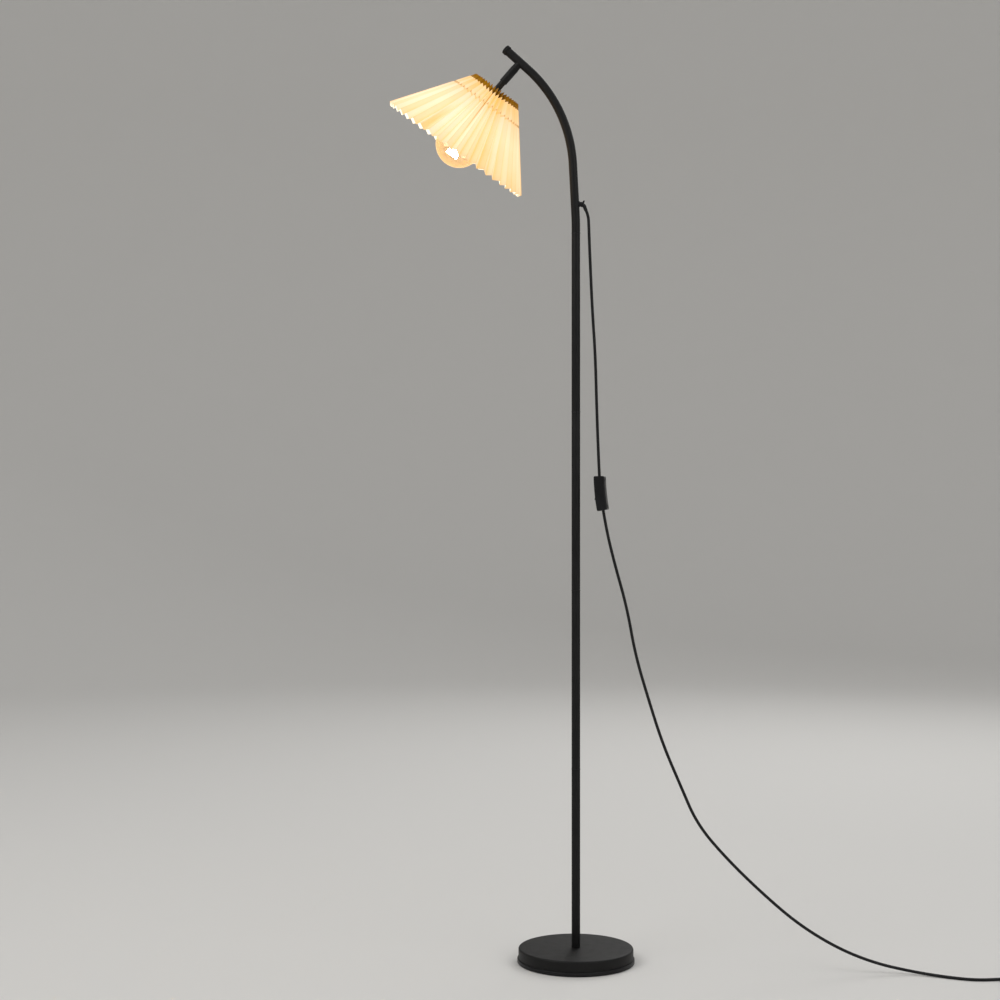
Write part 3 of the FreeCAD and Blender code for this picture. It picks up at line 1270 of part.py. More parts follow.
def smooth_wire(points):
    """Straight runs joined by arcs; returns the wire, its length and the arcs' radii."""
    corners = [vector(*point) for point in points]
    edges, radii, length = [], [], 0.0
    here = corners[0]
    for before, corner, after in zip(corners, corners[1:], corners[2:]):
        run_in, run_out = corner - before, after - corner
        shorter = min(run_in.Length, run_out.Length)
        turn = run_in.getAngle(run_out)
        trim = ARC_SHARE * shorter
        radius = trim / math.tan(turn / 2)
        entry = corner - run_in.normalize() * trim
        leave = corner + run_out.normalize() * trim
        inward = (entry - corner) + (leave - corner)
        to_centre = math.hypot(radius, trim)
        middle = corner + inward.normalize() * (to_centre - radius)
        edges.append(Part.LineSegment(here, entry).toShape())
        edges.append(Part.Arc(entry, middle, leave).toShape())
        length += (entry - here).Length + radius * turn
        radii.append(round(radius, 1))
        here = leave
    edges.append(Part.LineSegment(here, corners[-1]).toShape())
    length += (corners[-1] - here).Length
    return Part.Wire(edges), length, radii


def cord_tube(name, points):
    path, length, radii = smooth_wire(points)
    start = vector(*points[0])
    direction = vector(*points[1]) - start
    profile = Part.Wire(Part.Circle(start, direction, size.cord_radius).toShape())
    tube = path.makePipeShell([profile], True, False)
    expected = math.pi * size.cord_radius ** 2 * length
    print(name, "length", round(length, 1), "volume share", round(tube.Volume / expected, 5), "radii", radii)
    part_solid(name, tube)


def make_cord():
    cord_tube("cord_upper", UPPER_ROUTE)
    cord_tube("cord_lower", LOWER_ROUTE)

    cord_tube("cord_tail", TAIL_ROUTE)

    centre = place_at(vector(size.coil_x, size.coil_y, size.coil_tie_wall))
    inside, outside = "size.coil_radius - size.coil_half", "size.coil_radius + size.coil_half"
    body, sketch = turned("cord_coil", (
        (inside, "0"),
        (outside, "0"),
        (outside, "2 * size.coil_half"),
        (inside, "2 * size.coil_half"),
    ), centre)
    soften(body, sketch, (0, 1, 2, 3), "size.coil_rounding")
    keep(body, "cord_coil")

    side = 2 * size.coil_half
    outer = side + 2 * size.coil_tie_wall
    strap = Part.makeBox(outer, size.coil_tie_width, outer)
    strap.translate(vector(-outer / 2, -size.coil_tie_width / 2, 0))
    room = Part.makeBox(side, size.coil_tie_width, side)
    room.translate(vector(-side / 2, -size.coil_tie_width / 2, size.coil_tie_wall))
    part_solid("coil_tie", strap.cut(room),
               place_at(vector(size.coil_x + size.coil_radius, size.coil_y, 0)))


# Plug: tapered body and two round pins, lying beside the coil

def make_plug():
    frame = place_at(vector(size.plug_x, size.plug_y, size.plug_lift), 90)
    body = new_body("plug_body", frame)
    sketch = outline(body, "YZ_Plane", (
        ("-size.plug_root", "0"),
        ("size.plug_root", "0"),
        ("size.plug_face_width", "size.plug_nose"),
        ("size.plug_face_width", "size.plug_body_length"),
        ("-size.plug_face_width", "size.plug_body_length"),
        ("-size.plug_face_width", "size.plug_nose"),
    ))
    pad = padded(body, sketch, "2 * size.plug_face_half", True)
    rounding = body.newObject("PartDesign::Fillet", "plug_rounding")
    rounding.Base = (pad, [f"Edge{index}" for index in range(1, len(pad.Shape.Edges) + 1)])
    rounding.setExpression("Radius", "size.plug_edge")
    doc.recompute()
    keep(body, "plug_body")

    pins = []
    for side in (-1, 1):
        start = vector(0, side * size.pin_spacing / 2, size.plug_body_length)
        straight = size.plug_pin_length - size.plug_pin_radius
        shank = Part.makeCylinder(size.plug_pin_radius, straight, start, UP)
        tip = Part.makeSphere(size.plug_pin_radius, start + UP * straight)
        pins.append(shank.fuse(tip))
    part_solid("plug_pins", Part.makeCompound(pins), frame)


make_base()
make_pole()
make_arm()
make_exit()
make_lead()
make_neck()
make_holder()
make_carrier()
make_shade()
make_bulb()
make_switch()
make_cord()
make_plug()
doc.recompute()

TIP, TIP_DIRECTION = bush_station(size.bush_turn)
print("pivot", PIVOT, "bush end", TIP + TIP_DIRECTION * size.bush_tail)
for item in doc.Objects:
    if "Invalid" in item.State or "Error" in item.State:
        raise RuntimeError(f"{item.Label} did not build: {item.State}")
for item in pieces:
    if item.Shape.isNull() or not item.Shape.isValid() or not item.Shape.Solids:
        raise RuntimeError(f"{item.Label} is not a valid solid")
os.makedirs("parts", exist_ok=True)
for item in pieces:
    item.Shape.exportStep(f"parts/{item.Label}.step")
print(len(pieces), "pieces written")
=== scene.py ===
import json
import math

import bmesh
import bpy
import numpy as np
from mathutils import Matrix, Vector


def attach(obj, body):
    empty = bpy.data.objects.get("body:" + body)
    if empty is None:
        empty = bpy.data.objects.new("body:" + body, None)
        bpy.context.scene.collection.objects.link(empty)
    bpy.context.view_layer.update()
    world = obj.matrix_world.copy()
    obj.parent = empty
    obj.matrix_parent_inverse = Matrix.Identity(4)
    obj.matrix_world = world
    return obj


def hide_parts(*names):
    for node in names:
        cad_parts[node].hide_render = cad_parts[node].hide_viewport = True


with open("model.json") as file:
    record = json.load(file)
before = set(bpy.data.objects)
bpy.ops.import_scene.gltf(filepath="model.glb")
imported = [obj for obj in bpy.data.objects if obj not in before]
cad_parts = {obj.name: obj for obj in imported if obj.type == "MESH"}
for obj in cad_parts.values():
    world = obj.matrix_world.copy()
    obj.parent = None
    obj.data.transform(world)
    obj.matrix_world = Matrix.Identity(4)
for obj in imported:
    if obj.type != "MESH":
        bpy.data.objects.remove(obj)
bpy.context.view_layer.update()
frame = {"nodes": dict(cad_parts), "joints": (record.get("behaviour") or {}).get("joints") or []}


# The camera stands level at half the lamp's height. As in the photograph, it looks twelve degrees off
# square at the plane in which the arm is bent.

CAMERA_PLACE = (0.4988, -2.9598, 0.7761)
CAMERA_HEADING = 12.0
LENS = 64.26
SENSOR = 36.0

camera_data = bpy.data.cameras.new("camera")
camera_data.lens = LENS
camera_data.sensor_width = SENSOR
camera = bpy.data.objects.new("camera", camera_data)
camera.location = CAMERA_PLACE
camera.rotation_euler = (math.radians(90), 0, math.radians(CAMERA_HEADING))
bpy.context.scene.collection.objects.link(camera)
bpy.context.scene.camera = camera


# Mains cord: black round PVC, five millimetres thick. The upper cord hangs from the bush to the inline
# switch. The lower cord hangs from the switch to the floor, and its rest is wound up and ends in the plug.

CORD_RADIUS = 0.0025
UPPER_ROUTE = (
    (0.01745, 0, 1.26173),
    (0.02095, 0, 1.2535),
    (0.0219, 0, 1.24),
    (0.0228, 0, 1.212),
    (0.025, 0, 1.158),
    (0.0282, 0, 1.09),
    (0.033, 0, 1.019),
    (0.035, 0, 0.944),
    (0.0374, 0, 0.872),
    (0.0399, 0, 0.8158),
)
LOWER_ROUTE = (
    (0.0464, 0, 0.759),
    (0.0516, 0, 0.727),
    (0.0652, 0, 0.671),
    (0.0866, 0, 0.596),
    (0.1002, 0, 0.519),
    (0.1219, 0, 0.446),
    (0.146, 0, 0.371),
    (0.176, 0, 0.302),
    (0.204, 0, 0.238),
    (0.255, 0, 0.181),
    (0.313, 0.001, 0.127),
    (0.369, 0.004, 0.0805),
    (0.432, 0.012, 0.0425),
    (0.492, 0.027, 0.0175),
    (0.551, 0.037, 0.0046),
    (0.598, 0.024, 0.0025),
    (0.648, 0.012, 0.0025),
    (0.69, 0.0265, 0.0025),
)
TAIL_ROUTE = (
    (0.744, 0.0433, 0.006),
    (0.762, 0.0442, 0.0064),
    (0.78, 0.046, 0.007),
)
COIL_CENTRE = (0.733, 0.0115, 0.00755)
COIL_RADIUS = 0.028
COIL_STRAND_RADIUS = 0.00425
COIL_ENTRY = 108.8
COIL_TURNS = 4.03
COIL_LEAD_IN = 0.04
COIL_LEAD_OUT = 0.06
COIL_POINTS_PER_TURN = 16
COIL_TWIST = -72.0


def coil_route():
    """Turns of a ring whose strand also circles the ring's own middle line: at turn t it stands at COIL_TWIST
    times t round that line, so each turn lies a cord's thickness from the one before. The control points
    stand wider than the ring by as much as the spline cuts the corners between them."""
    turn = np.arange(COIL_LEAD_IN, COIL_TURNS - COIL_LEAD_OUT, 1 / COIL_POINTS_PER_TURN)
    around = np.radians(COIL_ENTRY - 360 * turn)
    strand = np.radians(-90 + COIL_TWIST * turn)
    widening = 1 / (0.75 + 0.25 * math.cos(2 * math.pi / COIL_POINTS_PER_TURN))
    radius = (COIL_RADIUS + COIL_STRAND_RADIUS * np.cos(strand)) * widening
    x = COIL_CENTRE[0] + radius * np.cos(around)
    y = COIL_CENTRE[1] + radius * np.sin(around)
    z = COIL_CENTRE[2] + COIL_STRAND_RADIUS * np.sin(strand)
    return np.stack([x, y, z], axis=1)


def add_cord(name, route):
    """A round tube along one open NURBS spline with the route as its control points."""
    curve = bpy.data.curves.new(name, "CURVE")
    curve.dimensions = "3D"
    spline = curve.splines.new("NURBS")
    spline.points.add(len(route) - 1)
    route = np.asarray(route, dtype=float)
    spline.points.foreach_set("co", np.c_[route, np.ones(len(route))].ravel())
    spline.order_u = 3
    spline.use_endpoint_u = True
    spline.resolution_u = 10
    curve.bevel_depth = CORD_RADIUS
    curve.bevel_resolution = 5
    curve.use_fill_caps = True
    piece = bpy.data.objects.new(name, curve)
    bpy.context.scene.collection.objects.link(piece)
    return piece


def new_material(name):
    """A new node material and its Principled shader."""
    material = bpy.data.materials.new(name)
    material.use_nodes = True
    nodes = material.node_tree.nodes
    shader = next(node for node in nodes if node.type == "BSDF_PRINCIPLED")
    return material, shader


def add_node(material, kind, inputs=(), **settings):
    """One shader node: settings are its properties, inputs pairs of a socket and a number or output."""
    node = material.node_tree.nodes.new("ShaderNode" + kind)
    for name, value in settings.items():
        setattr(node, name, value)
    for socket, value in inputs:
        if isinstance(value, bpy.types.NodeSocket):
            material.node_tree.links.new(value, node.inputs[socket])
        else:
            node.inputs[socket].default_value = value
    return node


def feed(material, shader, **sockets):
    """Links outputs to, or sets plain values on, the shader's sockets (underscores stand for spaces)."""
    for name, value in sockets.items():
        socket = shader.inputs[name.replace("_", " ")]
        if isinstance(value, bpy.types.NodeSocket):
            material.node_tree.links.new(value, socket)
        else:
            socket.default_value = value


def grain_node(material, scale, detail=2.0, distortion=0.0, stretch=(1, 1, 1)):
    """Noise over the piece's own coordinates, which are stretched first by a factor for each axis."""
    place = add_node(material, "TexCoord").outputs["Object"]
    place = add_node(material, "Mapping", [("Vector", place), ("Scale", stretch)]).outputs["Vector"]
    return add_node(material, "TexNoise", [("Vector", place), ("Scale", scale), ("Detail", detail),
                                           ("Distortion", distortion)]).outputs["Fac"]


def tone_node(material, factor, dark, light, start=0.3, end=0.7):
    """The dark colour where the factor is below the start, the light one above the end, blended between."""
    ramp = add_node(material, "ValToRGB", [("Fac", factor)])
    for element, place, colour in zip(ramp.color_ramp.elements, (start, end), (dark, light)):
        element.position = place
        element.color = (*colour, 1.0)
    return ramp.outputs["Color"]


def range_node(material, factor, low, high):
    """A number that runs from low to high as the factor runs from nought to one."""
    return add_node(material, "MapRange", [("Value", factor), ("To Min", low),
                                           ("To Max", high)]).outputs["Result"]


def relief_node(material, height, distance, strength=1.0):
    """The surface's direction, tipped as if the height stood out of it by a distance in metres."""
    return add_node(material, "Bump", [("Height", height), ("Distance", distance),
                                       ("Strength", strength)]).outputs["Normal"]


def soft_black(name, colour, roughness, grain_scale, grain_depth):
    """Black plastic, rubber or paint: slow changes of tone and gloss under a fine raised grain."""
    material, shader = new_material(name)
    clouds = grain_node(material, 60.0, 4.0)
    dark = tuple(0.7 * share for share in colour)
    feed(material, shader, Base_Color=tone_node(material, clouds, dark, colour, 0.35, 0.68),
         Roughness=range_node(material, clouds, roughness - 0.07, roughness + 0.09),
         Normal=relief_node(material, grain_node(material, grain_scale, 3.0), grain_depth, 0.6),
         Specular_IOR_Level=0.2)
    return material


cord_black = soft_black("cord_black", (0.011, 0.011, 0.012), 0.42, 900, 0.00012)
cord_upper_look = add_cord("cord_upper_run", UPPER_ROUTE)
cord_lower_look = add_cord("cord_lower_run", np.vstack([LOWER_ROUTE, coil_route(), TAIL_ROUTE]))
for piece in (cord_upper_look, cord_lower_look):
    piece.data.materials.append(cord_black)
    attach(piece, "stand")
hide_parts("cord_upper")
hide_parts("cord_lower", "cord_coil", "cord_tail")


# Base: a felt pad, a steel plate and a cast iron weight under a pressed and powder-coated steel cover,
# with a moulded trim ring snapped round the foot. A nut under the weight draws the whole base together.

MM = 0.001
SHARP_ANGLE = 32.0
COVER_RADIUS = 96.5
BASE_TOP = 25
COVER_WALL = 1
COVER_EDGE = 3
COVER_SEAT = 4.5
STUD_HOLE = 5.05
PLATE_GAP = 1.5
PLATE_RADIUS = COVER_RADIUS - COVER_WALL - PLATE_GAP
PLATE_FOOT = 2
TRIM_OVERHANG = 2
TRIM_LIP = 3
TRIM_RADIUS = COVER_RADIUS + TRIM_OVERHANG
TRIM_LIP_RADIUS = PLATE_RADIUS - TRIM_LIP
TRIM_PLAY = 0.06
TRIM_FOOT = 0.8
TRIM_TOP = 7.2
TRIM_EDGE = 1.4


def rounded_profile(corners, steps=6):
    """Outline through (across, along, radius) corners in millimetres: each corner becomes an arc that is
    tangent to both its sides, at the radius, or half the shorter side's reach where that is less."""
    corners = np.asarray(corners, dtype=float)
    pieces = []
    count = len(corners)
    for index in range(count):
        point, radius = corners[index, :2], corners[index, 2]
        before, after = corners[index - 1, :2], corners[(index + 1) % count, :2]
        if radius <= 0:
            pieces.append(point[None])
            continue
        back, ahead = before - point, after - point
        back_length, ahead_length = np.hypot(*back), np.hypot(*ahead)
        back, ahead = back / back_length, ahead / ahead_length
        half = math.acos(np.clip(back @ ahead, -1, 1)) / 2
        trim = min(radius / math.tan(half), back_length / 2, ahead_length / 2)
        reach = trim / math.cos(half)
        centre = point + (back + ahead) / np.hypot(*(back + ahead)) * reach
        start, end = point + back * trim - centre, point + ahead * trim - centre
        sweep = math.pi - 2 * half
        share = np.linspace(0, 1, steps + 1)[:, None]
        arc = (np.sin((1 - share) * sweep) * start + np.sin(share * sweep) * end) / math.sin(sweep)
        pieces.append(centre + arc)
    return np.vstack(pieces)


def grid_mesh(name, points, wrap_rows=False, wrap_columns=True, uv=None):
    """Faces through a grid of points (rows, columns, xyz) in metres: each joins two neighbours of one row
    and two of the next. A wrapped side joins its first line again, and other open ends stay open."""
    rows, columns = points.shape[:2]
    row = np.arange(rows if wrap_rows else rows - 1)
    column = np.arange(columns if wrap_columns else columns - 1)
    i, j = np.meshgrid(row, column, indexing="ij")
    i_next, j_next = (i + 1) % rows, (j + 1) % columns
    this_row, next_row = i * columns, i_next * columns
    corners = [this_row + j, this_row + j_next, next_row + j_next, next_row + j]
    faces = np.stack(corners, axis=-1).reshape(-1, 4)
    mesh = bpy.data.meshes.new(name)
    mesh.from_pydata(points.reshape(-1, 3).tolist(), [], faces.tolist())
    if uv is not None:
        layer = mesh.uv_layers.new(name="place")
        corner_uv = np.stack([uv[i, j], uv[i, j_next], uv[i_next, j_next], uv[i_next, j]], axis=-2)
        layer.data.foreach_set("uv", corner_uv.reshape(-1))
    return mesh


def grid_piece(name, points, body, **wraps):
    """A finished piece whose surface is one grid of points in metres."""
    return finish_mesh(name, grid_mesh(name, points, **wraps), body)


def finish_mesh(name, mesh, body):
    """Merges doubled points, turns the faces outwards, smooths all but sharp edges and adds the piece."""
    work = bmesh.new()
    work.from_mesh(mesh)
    bmesh.ops.remove_doubles(work, verts=work.verts, dist=1e-7)
    bmesh.ops.dissolve_degenerate(work, edges=work.edges, dist=1e-8)
    bmesh.ops.recalc_face_normals(work, faces=work.faces)
    work.to_mesh(mesh)
    work.free()
    mesh.shade_smooth()
    mesh.set_sharp_from_angle(angle=math.radians(SHARP_ANGLE))
    piece = bpy.data.objects.new(name, mesh)
    bpy.context.scene.collection.objects.link(piece)
    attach(piece, body)
    return piece


def moved(points, place=None):
    """Points in millimetres made metres, and carried by a 4 by 4 matrix."""
    points = points * MM
    if place is None:
        return points
    matrix = np.array(place)
    return points @ matrix[:3, :3].T + matrix[:3, 3]


def turned_rings(outline, columns):
    """An outline of (radius, height) pairs turned once round its own axis: each point goes round a circle
    of its radius at its height."""
    around = np.linspace(0, 2 * math.pi, columns, endpoint=False)
    points = np.empty((len(outline), columns, 3))
    points[..., 0] = outline[:, :1] * np.cos(around)
    points[..., 1] = outline[:, :1] * np.sin(around)
    points[..., 2] = outline[:, 1:]
    return points


def turned_piece(name, corners, body, place=None, columns=96, steps=6):
    """An outline of (radius, height, rounding) in millimetres, turned once round its own axis and set down
    by a placement matrix. It is closed, or it starts and ends on the axis."""
    outline = rounded_profile(corners, steps)
    on_axis = outline[0, 0] == 0 and outline[-1, 0] == 0
    return grid_piece(name, moved(turned_rings(outline, columns), place), body, wrap_rows=not on_axis)


def dress(material, *names, slot=None):
    """Gives a material to CAD nodes by name, or to a new piece. The slot argument is not used."""
    for name in names:
        piece = frame["nodes"][name] if isinstance(name, str) else name
        piece.data.materials.clear()
        piece.data.materials.append(material)


powder_black = soft_black("powder_black", (0.009, 0.0088, 0.0088), 0.5, 2600, 0.00005)
plastic_black = soft_black("plastic_black", (0.012, 0.012, 0.013), 0.36, 1700, 0.00003)

zinc, shader = new_material("zinc_plate")
brushed = grain_node(zinc, 1.0, 5.0, stretch=(40, 40, 900))
feed(zinc, shader, Metallic=1.0, Roughness=range_node(zinc, brushed, 0.25, 0.45),
     Base_Color=tone_node(zinc, brushed, (0.4, 0.4, 0.41), (0.62, 0.62, 0.63)))

iron, shader = new_material("cast_iron")
sand_marks = grain_node(iron, 420.0, 8.0)
feed(iron, shader, Metallic=0.6, Roughness=0.75, Normal=relief_node(iron, sand_marks, 0.0006),
     Base_Color=tone_node(iron, sand_marks, (0.05, 0.047, 0.045), (0.14, 0.13, 0.12), end=0.75))

felt, shader = new_material("black_felt")
fibres = grain_node(felt, 1400.0, 6.0, distortion=1.5)
feed(felt, shader, Roughness=0.95, Sheen_Weight=0.5, Normal=relief_node(felt, fibres, 0.0004),
     Base_Color=tone_node(felt, fibres, (0.01, 0.01, 0.01), (0.05, 0.05, 0.05), end=0.8))

cover = turned_piece("base_cover_shell", [
    (STUD_HOLE, BASE_TOP, 0), (COVER_RADIUS, BASE_TOP, COVER_EDGE), (COVER_RADIUS, COVER_SEAT, 0.3),
    (COVER_RADIUS - COVER_WALL, COVER_SEAT, 0.3),
    (COVER_RADIUS - COVER_WALL, BASE_TOP - COVER_WALL, COVER_EDGE - COVER_WALL),
    (STUD_HOLE, BASE_TOP - COVER_WALL, 0),
], "stand", columns=256, steps=10)
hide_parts("base_cover")
dress(powder_black, cover, slot="black_metal")
skirt = turned_piece("base_trim_ring", [
    (TRIM_LIP_RADIUS, TRIM_FOOT, 0.3), (TRIM_RADIUS, TRIM_FOOT, 0.8), (TRIM_RADIUS, TRIM_TOP, TRIM_EDGE),
    (COVER_RADIUS + TRIM_PLAY, TRIM_TOP, 0.15), (COVER_RADIUS + TRIM_PLAY, COVER_SEAT, 0.1),
    (PLATE_RADIUS + TRIM_PLAY, COVER_SEAT, 0.2), (PLATE_RADIUS + TRIM_PLAY, PLATE_FOOT, 0),
    (TRIM_LIP_RADIUS, PLATE_FOOT, 0.2),
], "stand", columns=256)
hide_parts("base_skirt")
dress(plastic_black, skirt, slot="black_plastic")
dress(felt, "base_pad")
dress(zinc, "base_plate", "base_stud", "base_washer", "base_nut")
dress(iron, "base_weight")


# Pole: four powder-coated steel tubes, screwed together. Each joint shows as the thin turned collar of
# the coupler between two tubes.

TUBE_RADIUS = 7.2
TUBE_BORE = 6.2
SECTION_PITCH = 300
COLLAR_HEIGHT = 1.6
SECTIONS = 4

satin_black = soft_black("satin_black", (0.014, 0.014, 0.015), 0.28, 1500, 0.00002)
for number in range(SECTIONS):
    foot = Matrix.Translation((0, 0, (BASE_TOP + number * SECTION_PITCH) * MM))
    tube = turned_piece(f"pole_tube_{number + 1}", [
        (TUBE_BORE, 0, 0.2), (TUBE_RADIUS, 0, 0.35), (TUBE_RADIUS, SECTION_PITCH - COLLAR_HEIGHT, 0.35),
        (TUBE_BORE, SECTION_PITCH - COLLAR_HEIGHT, 0.2),
    ], "stand", foot, steps=4)
    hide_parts(f"pole_section_{number + 1}")
    dress(powder_black, tube, slot="black_metal")
    dress(satin_black, f"pole_coupler_{number + 1}")
    dress(zinc, f"pole_insert_{number + 1}")


# Arm: one bent tube of the same steel. It stands on the last collar, leans over the pole, arches forward
# and ends in a turned cap.

ARM_FOOT = (0.0, BASE_TOP + SECTIONS * SECTION_PITCH)
FOOT_RUN = 12
LEAN = 3.0
LEAN_RADIUS = 300
RISE = 87
ARCH = 44.0
ARCH_RADIUS = 240
TAIL = 48.4
ARM_COLUMNS = 64


def bent_line(start, heading, runs):
    """Places (x, z) and headings of stations along a line in the plane of the arm. A heading is the angle
    from upright towards -X. Each run has a length, a turn in degrees and a number of steps: it is straight
    where its turn is zero, and else an arc whose radius is the length over the turn."""
    places, headings = [np.array([start], dtype=float)], [np.array([math.radians(heading)])]
    for length, turn, steps in runs:
        share = np.linspace(0, 1, steps + 1)[1:]
        first = headings[-1][-1]
        angle = first + math.radians(turn) * share
        if turn:
            move = length / math.radians(turn) * np.stack([np.cos(angle) - math.cos(first),
                                                           np.sin(angle) - math.sin(first)], axis=1)
        else:
            move = length * share[:, None] * np.array([-math.sin(first), math.cos(first)])
        places.append(places[-1][-1] + move)
        headings.append(angle)
    return np.vstack(places), np.concatenate(headings)


def carried_rings(places, headings, radii, columns):
    """Rings round the stations of a bent line: each point stands off the line by the station's radius,
    turned by its column's angle from the line's outer side towards +Y."""
    around = np.linspace(0, 2 * math.pi, columns, endpoint=False)[None, :, None]
    outward = np.stack([np.cos(headings), np.zeros(len(headings)), np.sin(headings)], axis=1)[:, None]
    centre = np.stack([places[:, 0], np.zeros(len(places)), places[:, 1]], axis=1)[:, None]
    radii = np.broadcast_to(radii, len(headings))[:, None, None]
    return centre + radii * (np.cos(around) * outward + np.sin(around) * np.array([0.0, 1.0, 0.0]))


def station_place(place, heading):
    """Matrix whose own Z lies along a bent line's heading and whose origin is a place on it, in metres."""
    return Matrix.Translation((place[0] * MM, 0, place[1] * MM)) @ Matrix.Rotation(-heading, 4, "Y")


arm_places, arm_headings = bent_line(ARM_FOOT, 0, (
    (FOOT_RUN, 0, 2), (LEAN_RADIUS * math.radians(LEAN), LEAN, 6), (RISE, 0, 8),
    (ARCH_RADIUS * math.radians(ARCH), ARCH, 64), (TAIL, 0, 6),
))
arm_points = np.vstack([carried_rings(arm_places, arm_headings, TUBE_RADIUS, ARM_COLUMNS),
                        carried_rings(arm_places, arm_headings, TUBE_BORE, ARM_COLUMNS)[::-1]])
arm = grid_piece("arm_bent_tube", moved(arm_points), "stand", wrap_rows=True)
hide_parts("arm_tube")
dress(powder_black, arm, slot="black_metal")

CAP_RADIUS = 8.2
CAP_LENGTH = 6.6
CAP_PLUG_RADIUS = 6.1
CAP_PLUG_LENGTH = 10
cap = turned_piece("arm_cap_turned", [
    (0, -CAP_PLUG_LENGTH, 0), (CAP_PLUG_RADIUS, -CAP_PLUG_LENGTH, 0.6), (CAP_PLUG_RADIUS, 0, 0),
    (CAP_RADIUS, 0, 0.5), (CAP_RADIUS, CAP_LENGTH, 1.3), (0, CAP_LENGTH, 0),
], "stand", station_place(arm_places[-1], arm_headings[-1]))
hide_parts("arm_end_cap")
dress(powder_black, cap, slot="black_metal")
dress(zinc, "arm_insert")
dress(cord_black, "arm_lead")


# Cord bush and its tie: a soft bush snaps into the arm, bends down and tapers on to the cord, with shallow
# grooves so that it flexes. A small cable tie keeps the cord from being pulled out.

EXIT_HEIGHT = 47.6
BUSH_INSIDE = 4.7
BUSH_LIP = 1.2
BUSH_BEND = 8
BUSH_TURN = 70.0
BUSH_TAIL = 7
BUSH_ROOT = 3.9
BUSH_TIP = 2.9
BUSH_COLUMNS = 48
TIP_ROUNDING = 0.35
TIP_START = 0.985
GROOVES = 5
GROOVE_DEPTH = 0.4
GROOVES_START = 0.3
GROOVES_END = 0.9
FLANGE_RADIUS = 5
FLANGE_BORE = BUSH_ROOT - 0.5
FLANGE_SINK = 0.1
FLANGE_EDGE = 0.4
FLANGE_SHOULDER = 0.12
FLANGE_COLUMNS = 64

lean_end = np.searchsorted(arm_headings, math.radians(LEAN) - 1e-9)
lean_heading = math.radians(LEAN)
exit_along = (ARM_FOOT[1] + EXIT_HEIGHT - arm_places[lean_end, 1]) / math.cos(lean_heading)
exit_point = arm_places[lean_end] + exit_along * np.array([-math.sin(lean_heading), math.cos(lean_heading)])
arm_out = np.array([math.cos(lean_heading), math.sin(lean_heading)])
bush_start = exit_point + arm_out * (TUBE_RADIUS - BUSH_INSIDE)
wall_run = BUSH_INSIDE + BUSH_LIP
bend_run = BUSH_BEND * math.radians(BUSH_TURN)
bush_places, bush_headings = bent_line(bush_start, LEAN - 90, (
    (wall_run, 0, 6), (bend_run, -BUSH_TURN, 60), (BUSH_TAIL, 0, 44),
))

# The bush's radius shrinks evenly from root to tip, less the grooves, which are the upper half of a sine
# wave, and less the square of the last stretch's share at the tip.
bush_length = np.concatenate([[0], np.cumsum(np.hypot(*np.diff(bush_places, axis=0).T))])
bush_share = np.clip((bush_length - wall_run) / (bend_run + BUSH_TAIL), 0, 1)
groove_share = (bush_share - GROOVES_START) / (GROOVES_END - GROOVES_START)
groove_wave = np.clip(np.sin(2 * math.pi * (GROOVES * groove_share - 0.25)), 0, 1) ** 0.6
groove_wave *= (bush_share > GROOVES_START) & (bush_share < GROOVES_END)
tip_share = np.clip((bush_share - TIP_START) / (1 - TIP_START), 0, 1)
bush_radii = BUSH_ROOT + (BUSH_TIP - BUSH_ROOT) * bush_share - GROOVE_DEPTH * groove_wave
bush_radii = bush_radii - TIP_ROUNDING * tip_share ** 2
bush_places = np.vstack([bush_places[:1], bush_places, bush_places[-1:]])
bush_headings = np.concatenate([bush_headings[:1], bush_headings, bush_headings[-1:]])
bush_radii = np.concatenate([[0], bush_radii, [0]])
bush_points = carried_rings(bush_places, bush_headings, bush_radii, BUSH_COLUMNS)
bush = grid_piece("cord_bush_bend", moved(bush_points), "stand")

# The flange's first two rings lie in the round of the arm: each point's distance from the arm's middle line
# is the root of the tube's radius squared less its own sideways distance squared, less the sink.
around = np.linspace(0, 2 * math.pi, FLANGE_COLUMNS, endpoint=False)
flange_face = TUBE_RADIUS + BUSH_LIP
flange_profile = np.array([
    (FLANGE_BORE, 0), (FLANGE_RADIUS, 0), (FLANGE_RADIUS, flange_face - FLANGE_EDGE),
    (FLANGE_RADIUS - FLANGE_SHOULDER, flange_face - FLANGE_SHOULDER),
    (FLANGE_RADIUS - FLANGE_EDGE, flange_face), (FLANGE_BORE, flange_face),
])
flange_radii = flange_profile[:, :1]
saddle = np.sqrt(TUBE_RADIUS ** 2 - (flange_radii * np.sin(around)) ** 2) - FLANGE_SINK
flange_out = np.where(flange_profile[:, 1:] == 0, saddle, flange_profile[:, 1:])
flange_up = flange_radii * np.cos(around)
flange_points = np.empty((len(flange_profile), FLANGE_COLUMNS, 3))
flange_points[..., 0] = exit_point[0] + flange_out * arm_out[0] - flange_up * arm_out[1]
flange_points[..., 1] = flange_radii * np.sin(around)
flange_points[..., 2] = exit_point[1] + flange_out * arm_out[1] + flange_up * arm_out[0]
flange = grid_piece("cord_bush_flange", moved(flange_points), "stand", wrap_rows=True)
for piece in (bush, flange):
    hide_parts("cord_bush")
    dress(cord_black, piece, slot="black_rubber")

